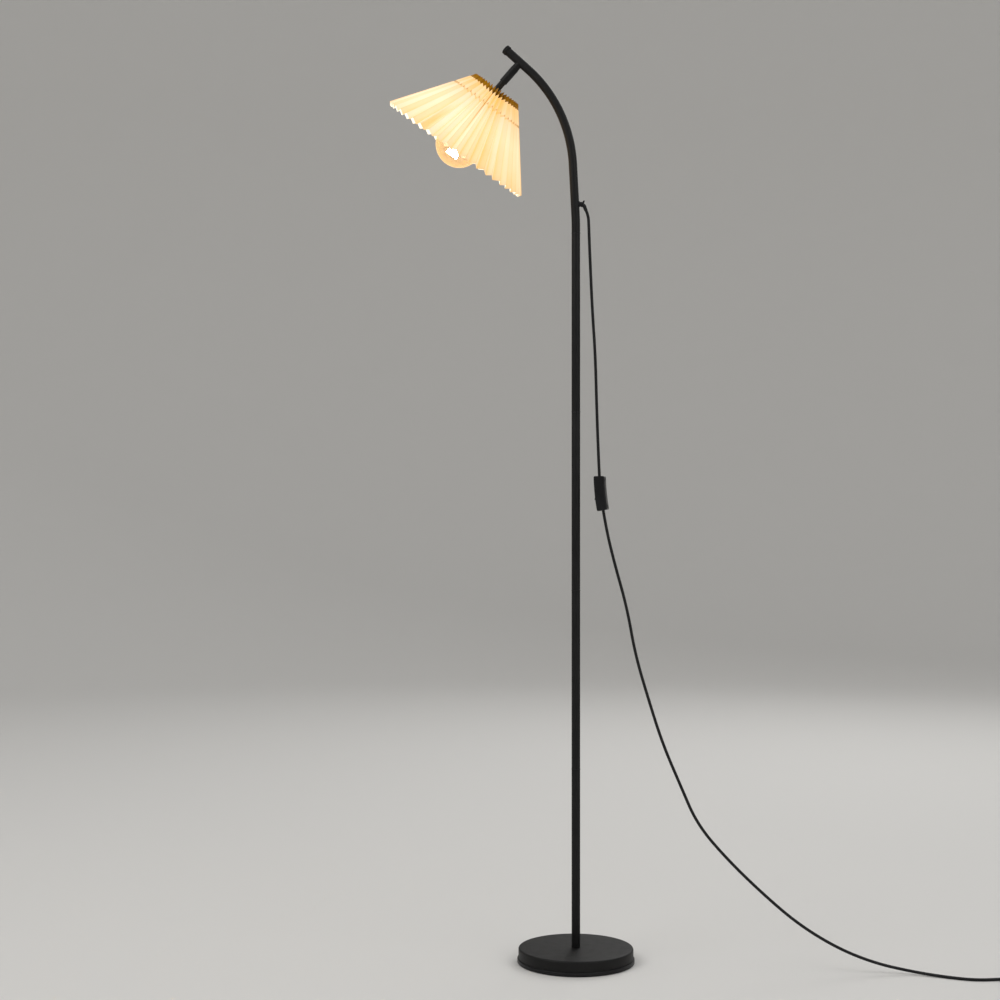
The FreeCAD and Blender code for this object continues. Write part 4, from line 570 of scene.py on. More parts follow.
TIE_TURN = 30.0
TIE_WIDTH = 2.6
TIE_WALL = 0.9
TIE_LOCK = (1.15, 1.6, 1.4)
TIE_TAIL = (1.0, 0.4, 1.1)
TIE_TAIL_REACH = 0.4
TIE_BITE = 0.2
BLOCK_POWER = 0.3
tie_places, tie_headings = bent_line(exit_point + arm_out * flange_face, LEAN - 90,
                                     ((BUSH_BEND * math.radians(TIE_TURN), -TIE_TURN, 1),))
tie_place = station_place(tie_places[-1], tie_headings[-1])
tie_grip = BUSH_ROOT - TIE_BITE
tie_band = turned_piece("cord_tie_band", [
    (tie_grip, -TIE_WIDTH / 2, 0.2), (tie_grip + TIE_WALL, -TIE_WIDTH / 2, 0.3),
    (tie_grip + TIE_WALL, TIE_WIDTH / 2, 0.3), (tie_grip, TIE_WIDTH / 2, 0.2),
], "stand", tie_place, columns=48, steps=3)


def rounded_block(name, halves, out):
    """A block with soft edges, out from the middle of the tie: a ball whose sines and cosines are raised to
    a small power, keeping their signs, and stretched to the three half sizes in millimetres."""
    rows, columns = 25, 48
    down = np.linspace(-math.pi / 2, math.pi / 2, rows)[:, None]
    around = np.linspace(0, 2 * math.pi, columns, endpoint=False)

    def soft(value):
        return np.sign(value) * np.abs(value) ** BLOCK_POWER

    points = np.empty((rows, columns, 3))
    points[..., 0] = halves[0] * soft(np.cos(down)) * soft(np.cos(around))
    points[..., 1] = halves[1] * soft(np.cos(down)) * soft(np.sin(around))
    points[..., 2] = halves[2] * soft(np.sin(down))
    return grid_piece(name, moved(points, tie_place @ Matrix.Translation((-out * MM, 0, 0))), "stand")


tie_lock = rounded_block("cord_tie_lock", TIE_LOCK, tie_grip + TIE_LOCK[0])
tie_end = rounded_block("cord_tie_end", TIE_TAIL, tie_grip + 2 * TIE_LOCK[0] + TIE_TAIL_REACH)
for piece in (tie_band, tie_lock, tie_end):
    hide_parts("cord_tie")
    dress(plastic_black, piece, slot="black_plastic")


# Neck: a turned stub stands square under the arm. The barrel screws on to it and ends in a forked ball,
# whose cross screw grips the tongue of the lamp head and lets it tilt.

joints = {joint["name"]: joint for joint in frame["joints"]}
PIVOT = Vector(joints["head_tilt"]["pos_m"])
neck_heading = arm_headings[-1] - math.pi / 2
NECK_PLACE = Matrix.Translation(PIVOT) @ Matrix.Rotation(-neck_heading, 4, "Y")
STUB_RADIUS = 6.45
STUB_BORE = 3.2
STUB_LOW = 44.6
STUB_TOP = 55
BARREL_RADIUS = 6.8
BARREL_LOW = 12.8
BARREL_THREAD_END = 30
BALL_RADIUS = 5.5
SLOT_HALF = 2.2
SLOT_TOP = 6
SPOT_HALF = 4.6
SPOT_RADIUS = 3.4

stub = turned_piece("neck_stub_turned", [
    (STUB_BORE, STUB_LOW, 0), (STUB_RADIUS, STUB_LOW, 0.4), (STUB_RADIUS, STUB_TOP, 0),
    (STUB_BORE, STUB_TOP, 0),
], "stand", NECK_PLACE)
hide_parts("neck_stub")
barrel = turned_piece("neck_barrel_turned", [
    (0, SLOT_TOP, 0), (BALL_RADIUS, SLOT_TOP, 0.1), (BALL_RADIUS, BARREL_LOW, 0.3),
    (BARREL_RADIUS, BARREL_LOW, 0.9), (BARREL_RADIUS, STUB_LOW, 0.7), (STUD_HOLE, STUB_LOW, 0.2),
    (STUD_HOLE, BARREL_THREAD_END, 0), (0, BARREL_THREAD_END, 0),
], "stand", NECK_PLACE)


def fork_ear(name, side):
    """One ear of the fork: at each height a circle's arc beyond the slot, closed by the slot's flat chord.
    The circle keeps the ball's radius above the pivot and shrinks as a ball below it, and the arc is cut
    flat round the screw."""
    rows, arc_points, chord_points = 24, 49, 10
    low = -math.sqrt(BALL_RADIUS ** 2 - SLOT_HALF ** 2) + 1e-3
    turn = np.linspace(math.asin(low / BALL_RADIUS), 0, rows)
    height = np.concatenate([BALL_RADIUS * np.sin(turn), np.linspace(0, SLOT_TOP + 0.5, rows)[1:]])[:, None]
    radius = np.sqrt(BALL_RADIUS ** 2 - np.minimum(height, 0) ** 2)
    start = np.arcsin(np.clip(SLOT_HALF / radius, -1, 1))
    angle = start + np.linspace(0, 1, arc_points) * (math.pi - 2 * start)
    arc = np.stack([radius * np.cos(angle), radius * np.sin(angle)], axis=-1)
    flat = np.hypot(arc[..., 0], height) < SPOT_RADIUS
    arc[..., 1] = np.where(flat, np.minimum(arc[..., 1], SPOT_HALF), arc[..., 1])
    back = np.linspace(1, 0, chord_points + 2)[1:-1]
    chord_x = radius * np.cos(start) * (1 - 2 * back)
    chord = np.stack([chord_x, np.full(chord_x.shape, SLOT_HALF)], axis=-1)
    section = np.concatenate([arc, chord], axis=1)
    points = np.empty((len(height) + 2, section.shape[1], 3))
    points[1:-1, :, :2] = section
    points[1:-1, :, 2] = height
    points[0] = points[1].mean(axis=0)
    points[-1] = points[-2].mean(axis=0)
    points[..., 1] *= side
    return grid_piece(name, moved(points, NECK_PLACE), "stand")


ears = [fork_ear("neck_fork_front", -1), fork_ear("neck_fork_back", 1)]
for piece in (barrel, *ears):
    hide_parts("neck_barrel")
for piece in (stub, barrel, *ears):
    dress(powder_black, piece, slot="black_metal")
dress(powder_black, "holder_tongue")
blackened_steel = soft_black("blackened_steel", (0.02, 0.02, 0.022), 0.3, 800, 0.00001)
dress(blackened_steel, "tilt_screw", "tilt_nut")


# Lamp holder: a moulded cap and body screwed together round a steatite core and a brass shell. The shade's
# carrier sits under the holder's shoulder and a threaded ring clamps it.

HEAD_DOWN = Vector(joints["bulb_out"]["axis"])
HEAD_TILT = math.atan2(-HEAD_DOWN.x, -HEAD_DOWN.z)
HEAD_PLACE = Matrix.Translation(PIVOT) @ Matrix.Rotation(HEAD_TILT, 4, "Y")
HOLDER_TOP = -8.7
HOLDER_SPLIT = -28
HOLDER_LOW = -62
HOLDER_RADIUS = 19.5
HOLDER_WALL = 2
HOLDER_BORE = HOLDER_RADIUS - HOLDER_WALL
HOLDER_LIP_RADIUS = 16.3
HOLDER_FLANGE = 21.5
HOLDER_FLANGE_HEIGHT = 3
SHOULDER_RADIUS = 10.5
SHOULDER_EDGE = 4
SLOPE_HEIGHT = 11

holder_cap = turned_piece("holder_cap_moulded", [
    (STUD_HOLE, HOLDER_TOP, 0.2), (SHOULDER_RADIUS, HOLDER_TOP, SHOULDER_EDGE),
    (HOLDER_RADIUS, HOLDER_TOP - SLOPE_HEIGHT, SHOULDER_EDGE), (HOLDER_RADIUS, HOLDER_SPLIT, 0.3),
    (HOLDER_BORE, HOLDER_SPLIT, 0), (HOLDER_BORE, HOLDER_TOP - SLOPE_HEIGHT - 1, 2),
    (SHOULDER_RADIUS - 1, HOLDER_TOP - HOLDER_WALL, 2), (STUD_HOLE, HOLDER_TOP - HOLDER_WALL, 0),
], "head", HEAD_PLACE)
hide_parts("holder_cap")
holder_body = turned_piece("holder_body_moulded", [
    (HOLDER_BORE, HOLDER_SPLIT, 0), (HOLDER_FLANGE, HOLDER_SPLIT, 0.5),
    (HOLDER_FLANGE, HOLDER_SPLIT - HOLDER_FLANGE_HEIGHT, 0.3),
    (HOLDER_RADIUS, HOLDER_SPLIT - HOLDER_FLANGE_HEIGHT, 0.2),
    (HOLDER_RADIUS, HOLDER_LOW, 0.7), (HOLDER_LIP_RADIUS, HOLDER_LOW, 0.5),
    (HOLDER_LIP_RADIUS, HOLDER_LOW + HOLDER_WALL, 0.2), (HOLDER_BORE, HOLDER_LOW + HOLDER_WALL, 0),
], "head", HEAD_PLACE)
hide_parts("holder_body")
for piece in (holder_cap, holder_body):
    dress(plastic_black, piece, slot="black_plastic")
dress(plastic_black, "shade_ring")
dress(powder_black, "shade_carrier")
dress(cord_black, "holder_lead")

brass, shader = new_material("brass")
tarnish = grain_node(brass, 220.0, 6.0)
feed(brass, shader, Metallic=1.0, Roughness=range_node(brass, tarnish, 0.2, 0.42),
     Base_Color=tone_node(brass, tarnish, (0.42, 0.29, 0.1), (0.75, 0.57, 0.28)))
dress(brass, "holder_shell", "holder_contact")

steatite, shader = new_material("steatite")
speckle = grain_node(steatite, 700.0, 4.0)
feed(steatite, shader, Roughness=0.6,
     Base_Color=tone_node(steatite, speckle, (0.6, 0.57, 0.5), (0.8, 0.78, 0.72)))
dress(steatite, "holder_core")


# Shade: one sheet of a paper-like textile, pressed into forty-five sharp folds, glued along one inner fold
# and gathered by two sewn threads into a cone. Its ends are cut square to the folds, so they zigzag.

PLEATS = 45
CROWN_DROP = 1.7
SHADE_HEIGHT = 122.3
CROWN_RADIUS = 43.7
CROWN_DEPTH = 12.8
MOUTH_RADIUS = 136.6
MOUTH_DEPTH = 9.1
FOLD_LAG = 5.6
SHEET = 0.45
HEM_DROP = 8.4
THREAD_DROPS = (6.0, 30.6)
SEAM_FOLD = 35.5
WARM_FOLD = 32.25
CREASE = 0.985
ASKEW = 4.5
PINCH_DEPTH = 0.6
PINCH_REACH = 1.6
CREST_UNEVEN = 0.5
VALLEY_UNEVEN = 0.7
CREST_SWAY = 0.05
VALLEY_SWAY = 0.07


def pleated_cone(across, down):
    """Head frame point of the sheet: a place across, counted in folds, lies between the outer fold at the
    nearest whole number and the inner fold at the nearest half, by a triangle wave with rounded tips. Both
    folds are straight lines on cones. The inner one ends lower, and each fold stands out of true by a sine
    of its number. The threads draw the outer folds in. At the angle a round the axis the sheet hangs askew,
    by half of ASKEW times sin a (1 + cos a)."""
    crest, valley = np.floor(across + 0.5) % PLEATS, np.floor(across) + 0.5
    inward = 0.5 - 0.5 * np.arcsin(CREASE * np.cos(2 * math.pi * across)) / math.asin(CREASE)
    share = down / SHADE_HEIGHT
    pinch = sum(np.exp(-((down - drop) / PINCH_REACH) ** 2) for drop in THREAD_DROPS)
    crest_radius = CROWN_RADIUS + (MOUTH_RADIUS - CROWN_RADIUS) * share - PINCH_DEPTH * pinch
    crest_radius = crest_radius - CREST_UNEVEN * (1 + np.sin(crest * 2.399)) * share
    valley_share = (down + FOLD_LAG) / SHADE_HEIGHT
    crown_inner, mouth_inner = CROWN_RADIUS - CROWN_DEPTH, MOUTH_RADIUS - MOUTH_DEPTH
    valley_radius = crown_inner + (mouth_inner - crown_inner) * valley_share
    valley_radius = valley_radius + VALLEY_UNEVEN * np.sin(valley * 5.13) * share
    turn = 2 * math.pi / PLEATS
    crest_angle = turn * (crest + CREST_SWAY * np.sin(crest * 1.7 + 0.4) * share)
    valley_angle = turn * (valley + VALLEY_SWAY * np.sin(valley * 2.9) * share)
    x = crest_radius * np.cos(crest_angle) * (1 - inward) + valley_radius * np.cos(valley_angle) * inward
    y = crest_radius * np.sin(crest_angle) * (1 - inward) + valley_radius * np.sin(valley_angle) * inward
    around = turn * across
    lift = 0.5 * ASKEW * share * np.sin(around) * (1 + np.cos(around))
    return np.stack([x, y, lift - CROWN_DROP - down - FOLD_LAG * inward], axis=-1)


# The grid's lines lie close together at the creases, in the hem and along the lower row of stitches.
half_fold = np.array([0, 0.04, 0.12, 0.28, 0.5, 0.72, 0.88, 0.96])
across = (np.arange(2 * PLEATS)[:, None] + half_fold).ravel() / 2
across = np.append(across, PLEATS)
down = np.concatenate([np.linspace(0, 9, 13), np.linspace(11, 27, 7), np.linspace(28.2, 33, 9),
                       np.linspace(38, SHADE_HEIGHT, 12)])
u, v = np.meshgrid(across, down)
shade = grid_piece("shade_sheet", moved(pleated_cone(u, v), HEAD_PLACE), "head", wrap_columns=False,
                   uv=np.stack([u / PLEATS, v / SHADE_HEIGHT], axis=-1))
thick = shade.modifiers.new("thickness", "SOLIDIFY")
thick.thickness = SHEET * MM
thick.offset = 0
thick.material_offset = 1
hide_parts("shade")


def math_node(material, operation, first, second=0.0, third=0.0):
    """A number worked out from up to three others by the named operation."""
    return add_node(material, "Math", [(0, first), (1, second), (2, third)],
                    operation=operation).outputs["Value"]


def blend_colour(material, factor, first, second):
    """The first colour where the factor is nought, the second where it is one."""
    ends = [value if isinstance(value, bpy.types.NodeSocket) else (*value, 1.0) for value in (first, second)]
    return add_node(material, "Mix", [(0, factor), (6, ends[0]), (7, ends[1])], data_type="RGBA").outputs[2]


def step_node(material, value, low, high):
    """A smooth step from nought at the first value to one at the second."""
    return add_node(material, "MapRange", [("Value", value), ("From Min", low), ("From Max", high)],
                    interpolation_type="SMOOTHSTEP").outputs["Result"]


def near_node(material, value, middle, reach):
    """One at the middle value, falling smoothly to nought at the reach on both sides."""
    away = math_node(material, "ABSOLUTE", math_node(material, "SUBTRACT", value, middle))
    return step_node(material, away, reach, reach * 0.35)


def fibre_node(material, place):
    """Long fine fibres along the folds: noise squeezed across the sheet."""
    stretched = add_node(material, "Mapping", [("Vector", place), ("Scale", (900.0, 14.0, 1.0))])
    return add_node(material, "TexNoise", [("Vector", stretched.outputs["Vector"]), ("Scale", 1.0),
                                           ("Detail", 5.0), ("Roughness", 0.6)]).outputs["Fac"]


# Colours of the painted glow through the sheet, and of the painted shade and shadows in it.
CREAM = (0.85, 0.655, 0.46)
AMBER = (0.74, 0.405, 0.10)
DEEP_AMBER = (0.60, 0.29, 0.005)
HEM_LIGHT = (0.31, 0.13, 0.002)
HEM_DARK = (0.05, 0.014, 0.0)
THREAD_SHADOW_BROWN = (0.02, 0.004, 0.0)
SEAM_BROWN = (0.30, 0.15, 0.02)

# The sheet's emission is painted light: the bulb's glow coming through the sheet, with painted shade laid
# into it.
lit_sheet, shader = new_material("lit_pleated_sheet")
uv_place = add_node(lit_sheet, "UVMap", uv_map="place").outputs["UV"]
uv_axes = add_node(lit_sheet, "SeparateXYZ", [("Vector", uv_place)])
fold_place = math_node(lit_sheet, "MULTIPLY", uv_axes.outputs["X"], float(PLEATS))
drop_place = math_node(lit_sheet, "MULTIPLY", uv_axes.outputs["Y"], SHADE_HEIGHT)
to_valley = math_node(lit_sheet, "PINGPONG", fold_place, 0.5)
panel_number = math_node(lit_sheet, "FLOOR", math_node(lit_sheet, "MULTIPLY", fold_place, 2.0))
panel_noise = add_node(lit_sheet, "TexWhiteNoise", [("W", panel_number)], noise_dimensions="1D")
panel_tone = panel_noise.outputs["Value"]
shaded_fold_side = math_node(lit_sheet, "MODULO", panel_number, 2.0)
fibre = fibre_node(lit_sheet, uv_place)
cloud = grain_node(lit_sheet, 16.0)
warm_panel = math_node(lit_sheet, "MULTIPLY", near_node(lit_sheet, fold_place, WARM_FOLD, 0.27),
                       step_node(lit_sheet, drop_place, 45.0, 105.0))

# Amber adds up over cream: each panel's random tone; painted shade on every other panel, towards the crown
# and the mouth, on the slope to the inner fold and in the two creases; slow clouds, the fibres and one panel
# amber at its foot.
shade_and_tone = -0.04
for part, weight in (
    (panel_tone, 0.5),
    (shaded_fold_side, 0.16),
    (step_node(lit_sheet, drop_place, 46.0, 8.0), 0.45),
    (step_node(lit_sheet, drop_place, 80.0, 122.0), 0.24),
    (step_node(lit_sheet, to_valley, 0.22, 0.46), 0.22),
    (step_node(lit_sheet, to_valley, 0.44, 0.49), 0.5),
    (step_node(lit_sheet, to_valley, 0.06, 0.01), 0.32),
    (math_node(lit_sheet, "SUBTRACT", cloud, 0.5), 0.5),
    (math_node(lit_sheet, "SUBTRACT", fibre, 0.5), 0.25),
    (warm_panel, 0.9),
):
    shade_and_tone = math_node(lit_sheet, "MULTIPLY_ADD", part, weight, shade_and_tone)
shade_and_tone.node.use_clamp = True
tone = blend_colour(lit_sheet, shade_and_tone, CREAM, AMBER)

# Over that lie a painted shadow of the lower thread along its row and at each stitch, the glued seam and the
# dark gathered hem.
thread_shadow_line = math_node(lit_sheet, "MULTIPLY", near_node(lit_sheet, drop_place, THREAD_DROPS[1], 1.7), 0.55)
tone = blend_colour(lit_sheet, thread_shadow_line, tone, DEEP_AMBER)
# Painted shadow of the thread where it stitches through at each outer fold.
stitch = math_node(lit_sheet, "MULTIPLY", near_node(lit_sheet, drop_place, THREAD_DROPS[1], 2.6),
                   step_node(lit_sheet, to_valley, 0.13, 0.05))
tone = blend_colour(lit_sheet, math_node(lit_sheet, "MULTIPLY", stitch, 0.8), tone, HEM_LIGHT)
# The glued seam is real; its brown line is painted shade, where the double layer lets less of the glow
# through.
seam = math_node(lit_sheet, "MULTIPLY", near_node(lit_sheet, fold_place, SEAM_FOLD, 0.17),
                 step_node(lit_sheet, drop_place, 105.0, 15.0))
tone = blend_colour(lit_sheet, math_node(lit_sheet, "MULTIPLY", seam, 0.85), tone, SEAM_BROWN)
# The gathered hem is painted darker, as less of the glow comes through its layers, with painted shade on
# every other panel and in the valleys, and a painted shadow of the upper thread in its valleys.
hem_depth = step_node(lit_sheet, drop_place, HEM_DROP + 0.3, HEM_DROP - 0.3)
hem_side = math_node(lit_sheet, "MULTIPLY", shaded_fold_side, 0.3)
hem_shade = math_node(lit_sheet, "MULTIPLY_ADD", panel_tone, 0.35, hem_side)
hem_shade = math_node(lit_sheet, "MULTIPLY_ADD", step_node(lit_sheet, to_valley, 0.15, 0.5), 0.7, hem_shade)
hem_tone = blend_colour(lit_sheet, hem_shade, HEM_LIGHT, HEM_DARK)
tone = blend_colour(lit_sheet, hem_depth, tone, hem_tone)
hem_thread_shadow = math_node(lit_sheet, "MULTIPLY", near_node(lit_sheet, drop_place, HEM_DROP - 1.6, 2.2),
                     step_node(lit_sheet, to_valley, 0.3, 0.44))
tone = blend_colour(lit_sheet, hem_thread_shadow, tone, THREAD_SHADOW_BROWN)
# The glow's strength varies with the fibres and is painted brighter over the lower part of the sheet, nearest
# the bulb.
level = math_node(lit_sheet, "MULTIPLY_ADD", fibre, 0.12, 0.905)
level = math_node(lit_sheet, "MULTIPLY_ADD", near_node(lit_sheet, drop_place, 86.0, 52.0), 0.13, level)
# The base colour is painted dark in the hem as well, as shade.
base_tone = blend_colour(lit_sheet, hem_depth, (0.42, 0.35, 0.24), (0.075, 0.04, 0.004))
feed(lit_sheet, shader, Base_Color=base_tone, Roughness=0.85, Emission_Color=tone, Emission_Strength=level,
     Normal=relief_node(lit_sheet, fibre, 0.00012), Specular_IOR_Level=0.2)

# Inside, the emission is painted light of the bulb on the sheet, with painted shade towards the crown.
lit_lining, shader = new_material("lit_sheet_inside")
inside_place = add_node(lit_lining, "UVMap", uv_map="place").outputs["UV"]
inside_axes = add_node(lit_lining, "SeparateXYZ", [("Vector", inside_place)])
inside_drop = math_node(lit_lining, "MULTIPLY", inside_axes.outputs["Y"], SHADE_HEIGHT)
inside_crown_shade = step_node(lit_lining, inside_drop, HEM_DROP, 40.0)
inside_level = math_node(lit_lining, "MULTIPLY_ADD", fibre_node(lit_lining, inside_place), 0.3, 0.95)
feed(lit_lining, shader, Base_Color=(0.75, 0.68, 0.55, 1), Roughness=0.8, Emission_Strength=inside_level,
     Emission_Color=blend_colour(lit_lining, inside_crown_shade, (0.6, 0.4, 0.16), (1.0, 0.9, 0.68)))
dress(lit_sheet, shade, slot="shade_sheet")
shade.data.materials.append(lit_lining)

THREAD_RADIUS = 0.35
STITCH_OUT = 0.5
THREAD_IN = 0.6


def sewn_thread(name, drop):
    """A closed tube along the sheet's zigzag at one drop: it runs just inside the sheet and comes out as a
    short stitch at each outer fold. A ring stands round each station, square to the line between its
    neighbours."""
    steps, columns = 12, 8
    station = np.arange(PLEATS * steps)
    line = pleated_cone(station / steps, np.full(len(station), float(drop)))
    stand_off = np.where(station % steps == 0, STITCH_OUT, -THREAD_IN)[:, None]
    outward = line * np.array([1, 1, 0]) / np.hypot(line[:, 0], line[:, 1])[:, None]
    line = line + outward * stand_off
    along = np.roll(line, -1, axis=0) - np.roll(line, 1, axis=0)
    along /= np.linalg.norm(along, axis=1)[:, None]
    first = np.cross(along, outward)
    first /= np.linalg.norm(first, axis=1)[:, None]
    second = np.cross(along, first)
    around = np.linspace(0, 2 * math.pi, columns, endpoint=False)[None, :, None]
    ring = np.cos(around) * first[:, None] + np.sin(around) * second[:, None]
    return grid_piece(name, moved(line[:, None] + THREAD_RADIUS * ring, HEAD_PLACE), "head", wrap_rows=True)


# The thread's emission is painted glow of the bulb's light coming through it.
gather_thread, shader = new_material("gather_thread")
twist = grain_node(gather_thread, 900.0)
feed(gather_thread, shader, Roughness=0.9, Emission_Color=(0.36, 0.18, 0.03, 1), Emission_Strength=1.0,
     Base_Color=tone_node(gather_thread, twist, (0.3, 0.2, 0.08), (0.5, 0.36, 0.18)))
for number, drop in enumerate(THREAD_DROPS):
    thread = sewn_thread(f"shade_thread_{number + 1}", drop)
    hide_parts("shade_threads")
    dress(gather_thread, thread, slot="shade_thread")


# Bulb: a lit globe of warm-tinted glass, blown in one with its neck and cemented into a nickel-plated screw
# cap. Coated light-emitting rods stand round a glass stem inside it.

GLOBE_DROP = 113.5
GLOBE_RADIUS = 40.3
GLASS_WALL = 0.8
NECK_LEVEL = -62.1
NECK_RADIUS = 13.2
GLOBE_ROWS = 60
CONE_ROWS = 8
BULB_COLUMNS = 96


def globe_profile(radius, neck_radius):
    """Half section from the globe's far pole: a sphere up to where a straight line from the neck touches
    it, and that line."""
    reach = np.array([neck_radius, NECK_LEVEL + GLOBE_DROP])
    touch = math.atan2(reach[1], reach[0]) - math.acos(radius / np.hypot(*reach))
    angle = np.linspace(-math.pi / 2, touch, GLOBE_ROWS)
    ball = np.stack([radius * np.cos(angle), radius * np.sin(angle) - GLOBE_DROP], axis=1)
    ball[0, 0] = 0
    share = np.linspace(0, 1, CONE_ROWS)[1:, None]
    cone = ball[-1] * (1 - share) + np.array([neck_radius, NECK_LEVEL]) * share
    return np.vstack([ball, cone])


outer_glass = globe_profile(GLOBE_RADIUS, NECK_RADIUS)
inner_glass = globe_profile(GLOBE_RADIUS - GLASS_WALL, NECK_RADIUS - 2 * GLASS_WALL)
glass_outline = np.vstack([outer_glass, inner_glass[::-1]])
globe = grid_piece("bulb_glass_globe", moved(turned_rings(glass_outline, BULB_COLUMNS), HEAD_PLACE), "bulb")
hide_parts("bulb_globe")
# The glass's emission is painted glow of the rods' light in the tinted glass.
warm_glass, shader = new_material("warm_glass")
facing = add_node(warm_glass, "LayerWeight", [("Blend", 0.35)]).outputs["Facing"]
haze = grain_node(warm_glass, 90.0, 4.0)
feed(warm_glass, shader, Base_Color=(0.08, 0.055, 0.03, 1), Emission_Strength=1.0,
     Emission_Color=tone_node(warm_glass, haze, (0.82, 0.44, 0.14), (1.0, 0.60, 0.24)),
     Roughness=range_node(warm_glass, haze, 0.03, 0.09), Alpha=range_node(warm_glass, facing, 0.17, 0.8))
dress(warm_glass, globe, slot="bulb_glass")

# The stem's emission is painted glow of the rods' light in it.
stem_glass, shader = new_material("stem_glass")
ripple = grain_node(stem_glass, 200.0)
feed(stem_glass, shader, Base_Color=(0.3, 0.26, 0.2, 1), Roughness=range_node(stem_glass, ripple, 0.02, 0.12),
     Alpha=0.85, Emission_Color=(1, 0.86, 0.62, 1), Emission_Strength=12.0)
dress(stem_glass, "bulb_stem")

hot_rods, shader = new_material("glowing_rods")
coating = grain_node(hot_rods, 900.0)
feed(hot_rods, shader, Base_Color=(1, 0.85, 0.5, 1), Emission_Strength=40.0,
     Emission_Color=tone_node(hot_rods, coating, (1, 0.84, 0.6), (1, 0.95, 0.82), 0.2, 0.8))
dress(hot_rods, "bulb_filaments")

CAP_TOP_LEVEL = -41.1
THREAD_PITCH = 3.63
THREAD_DEPTH = 0.9
THREAD_FADE = 2.5
THREAD_ROWS = 90
BULB_CAP_RADIUS = 12.9
BULB_CAP_WALL = 0.6
BULB_CAP_FOOT_BORE = 11.9
BULB_CAP_TOP_BORE = 11.7
BULB_RIM_RADIUS = 14.1
BULB_RIM_HEIGHT = 1.2
CONTACT_RADIUS = 4.2


def rolled_cap():
    """Points of the screw cap: its radius at a level and an angle is the cap's radius less the thread's
    depth times half of (1 - cos(level in pitches - angle)), and the thread fades out towards both ends. The
    rim, the bore and the hole for the contact close the wall."""
    rim_top = NECK_LEVEL + BULB_RIM_HEIGHT
    levels = np.linspace(CAP_TOP_LEVEL, rim_top, THREAD_ROWS)[:, None]
    around = np.linspace(0, 2 * math.pi, BULB_COLUMNS, endpoint=False)
    top_fade = np.clip((CAP_TOP_LEVEL - levels) / THREAD_FADE, 0, 1)
    foot_fade = np.clip((levels - rim_top) / THREAD_FADE, 0, 1)
    rolled = 0.5 - 0.5 * np.cos(2 * math.pi * levels / THREAD_PITCH - around)
    ends = np.array([
        (BULB_RIM_RADIUS, NECK_LEVEL + BULB_CAP_WALL), (BULB_RIM_RADIUS, NECK_LEVEL),
        (BULB_CAP_FOOT_BORE, NECK_LEVEL), (BULB_CAP_TOP_BORE, CAP_TOP_LEVEL - BULB_CAP_WALL),
        (CONTACT_RADIUS, CAP_TOP_LEVEL - BULB_CAP_WALL), (CONTACT_RADIUS, CAP_TOP_LEVEL),
    ])
    radii = np.vstack([BULB_CAP_RADIUS - THREAD_DEPTH * rolled * top_fade * foot_fade,
                       np.repeat(ends[:, :1], BULB_COLUMNS, axis=1)])
    heights = np.repeat(np.vstack([levels, ends[:, 1:]]), BULB_COLUMNS, axis=1)
    return np.stack([radii * np.cos(around), radii * np.sin(around), heights], axis=-1)


screw_cap = grid_piece("bulb_screw_cap", moved(rolled_cap(), HEAD_PLACE), "bulb", wrap_rows=True)
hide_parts("bulb_cap")

nickel, shader = new_material("nickel_cap")
wear = grain_node(nickel, 260.0, 5.0)
feed(nickel, shader, Metallic=1.0, Roughness=range_node(nickel, wear, 0.15, 0.35),
     Base_Color=tone_node(nickel, wear, (0.55, 0.54, 0.52), (0.8, 0.79, 0.77)))
dress(nickel, screw_cap, slot="bulb_metal")
dress(nickel, "bulb_contact")
black_glass = soft_black("black_glass", (0.01, 0.01, 0.012), 0.12, 400, 0.00002)
dress(black_glass, "bulb_insulator")


# Inline switch: two arched half shells of moulded plastic, screwed together from the back, with a rocker
# on a brass pin and brass contact strips.

switch_black = soft_black("switch_black", (0.011, 0.011, 0.012), 0.33, 1300, 0.00003)
dress(switch_black, "switch_front", "switch_back", "switch_rocker")
dress(zinc, "switch_screws")
dress(brass, "switch_contacts", "rocker_pin")


# Plug and coil strap: a moulded plug with two round pins, whose ribbed relief tapers on to the cord. A
# soft strap holds the put-away turns.

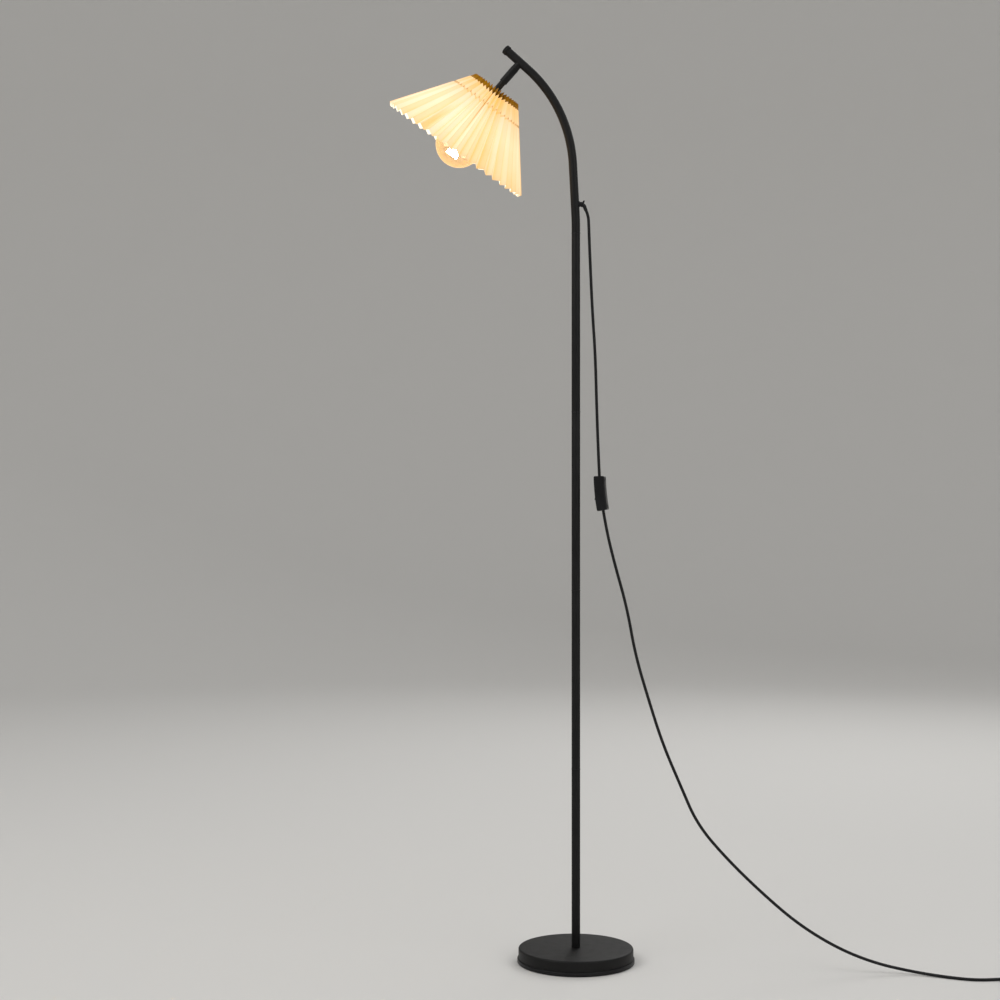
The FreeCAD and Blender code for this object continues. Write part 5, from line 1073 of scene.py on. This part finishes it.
PLUG_ENTRY = Vector((780, 46, 7))
RELIEF_LENGTH = 22
RELIEF_ROOT = 4.3
RELIEF_TIP = 3.0
RELIEF_RIBS = 6
RIB_DEPTH = 0.45
RELIEF_SINK = 0.5
tail_run = Vector(TAIL_ROUTE[1]) - Vector(TAIL_ROUTE[2])
relief_place = Matrix.Translation(PLUG_ENTRY * MM) @ tail_run.to_track_quat("Z", "Y").to_matrix().to_4x4()
relief_share = np.linspace(0, 1, 97)
ribs = np.clip(np.sin(2 * math.pi * (RELIEF_RIBS * relief_share - 0.25)), 0, 1) ** 0.6
relief_radii = RELIEF_ROOT + (RELIEF_TIP - RELIEF_ROOT) * relief_share - RIB_DEPTH * ribs
relief_outline = np.stack([relief_radii, RELIEF_LENGTH * relief_share - RELIEF_SINK], axis=1)
relief_outline = np.vstack([[[0, -RELIEF_SINK]], relief_outline, [[0, RELIEF_LENGTH - RELIEF_SINK]]])
relief = grid_piece("plug_relief", moved(turned_rings(relief_outline, 48), relief_place), "stand")
dress(plastic_black, relief, slot="black_plastic")
dress(plastic_black, "plug_body", "coil_tie")
dress(brass, "plug_pins")


# Studio: a pale floor that rises into a plain wall all round, under a plain world. Three soft square lights
# stand on the left, on the right and behind.

FLOOR_RADIUS = 4.5
FLOOR_BEND = 3.0
WALL_TOP = 6.5
bend = np.linspace(0, math.pi / 2, 25)
bowl_outline = np.vstack([
    [[0, 0]],
    np.stack([FLOOR_RADIUS + FLOOR_BEND * np.sin(bend), FLOOR_BEND * (1 - np.cos(bend))], axis=1),
    [[FLOOR_RADIUS + FLOOR_BEND, WALL_TOP]],
])
bowl_mesh = grid_mesh("studio_bowl", turned_rings(bowl_outline, 96)[::-1])
bowl_mesh.shade_smooth()
bowl = bpy.data.objects.new("studio_bowl", bowl_mesh)
bpy.context.scene.collection.objects.link(bowl)
studio_pale, shader = new_material("studio_pale")
feed(studio_pale, shader, Base_Color=(0.70, 0.69, 0.67, 1), Roughness=0.9)
bowl_mesh.materials.append(studio_pale)

world = bpy.data.worlds.new("studio")
world.use_nodes = True
world.node_tree.nodes["Background"].inputs["Color"].default_value = (0.82, 0.82, 0.82, 1)
world.node_tree.nodes["Background"].inputs["Strength"].default_value = 0.6
bpy.context.scene.world = world
bpy.context.scene.view_settings.view_transform = "Standard"


def soft_light(name, place, aim, width, power):
    """A square area light at a place, turned to an aim point."""
    data = bpy.data.lights.new(name, "AREA")
    data.size = width
    data.energy = power
    light = bpy.data.objects.new(name, data)
    light.location = place
    light.rotation_euler = (Vector(aim) - Vector(place)).to_track_quat("-Z", "Y").to_euler()
    bpy.context.scene.collection.objects.link(light)


soft_light("key", (-2.4, -2.8, 3.6), (0, 0, 0.8), 2.6, 75)
soft_light("fill", (3.0, -1.8, 2.4), (0, 0, 0.7), 2.8, 35)
soft_light("rim", (0.8, 3.2, 3.0), (0, 0, 0.9), 2.4, 45)
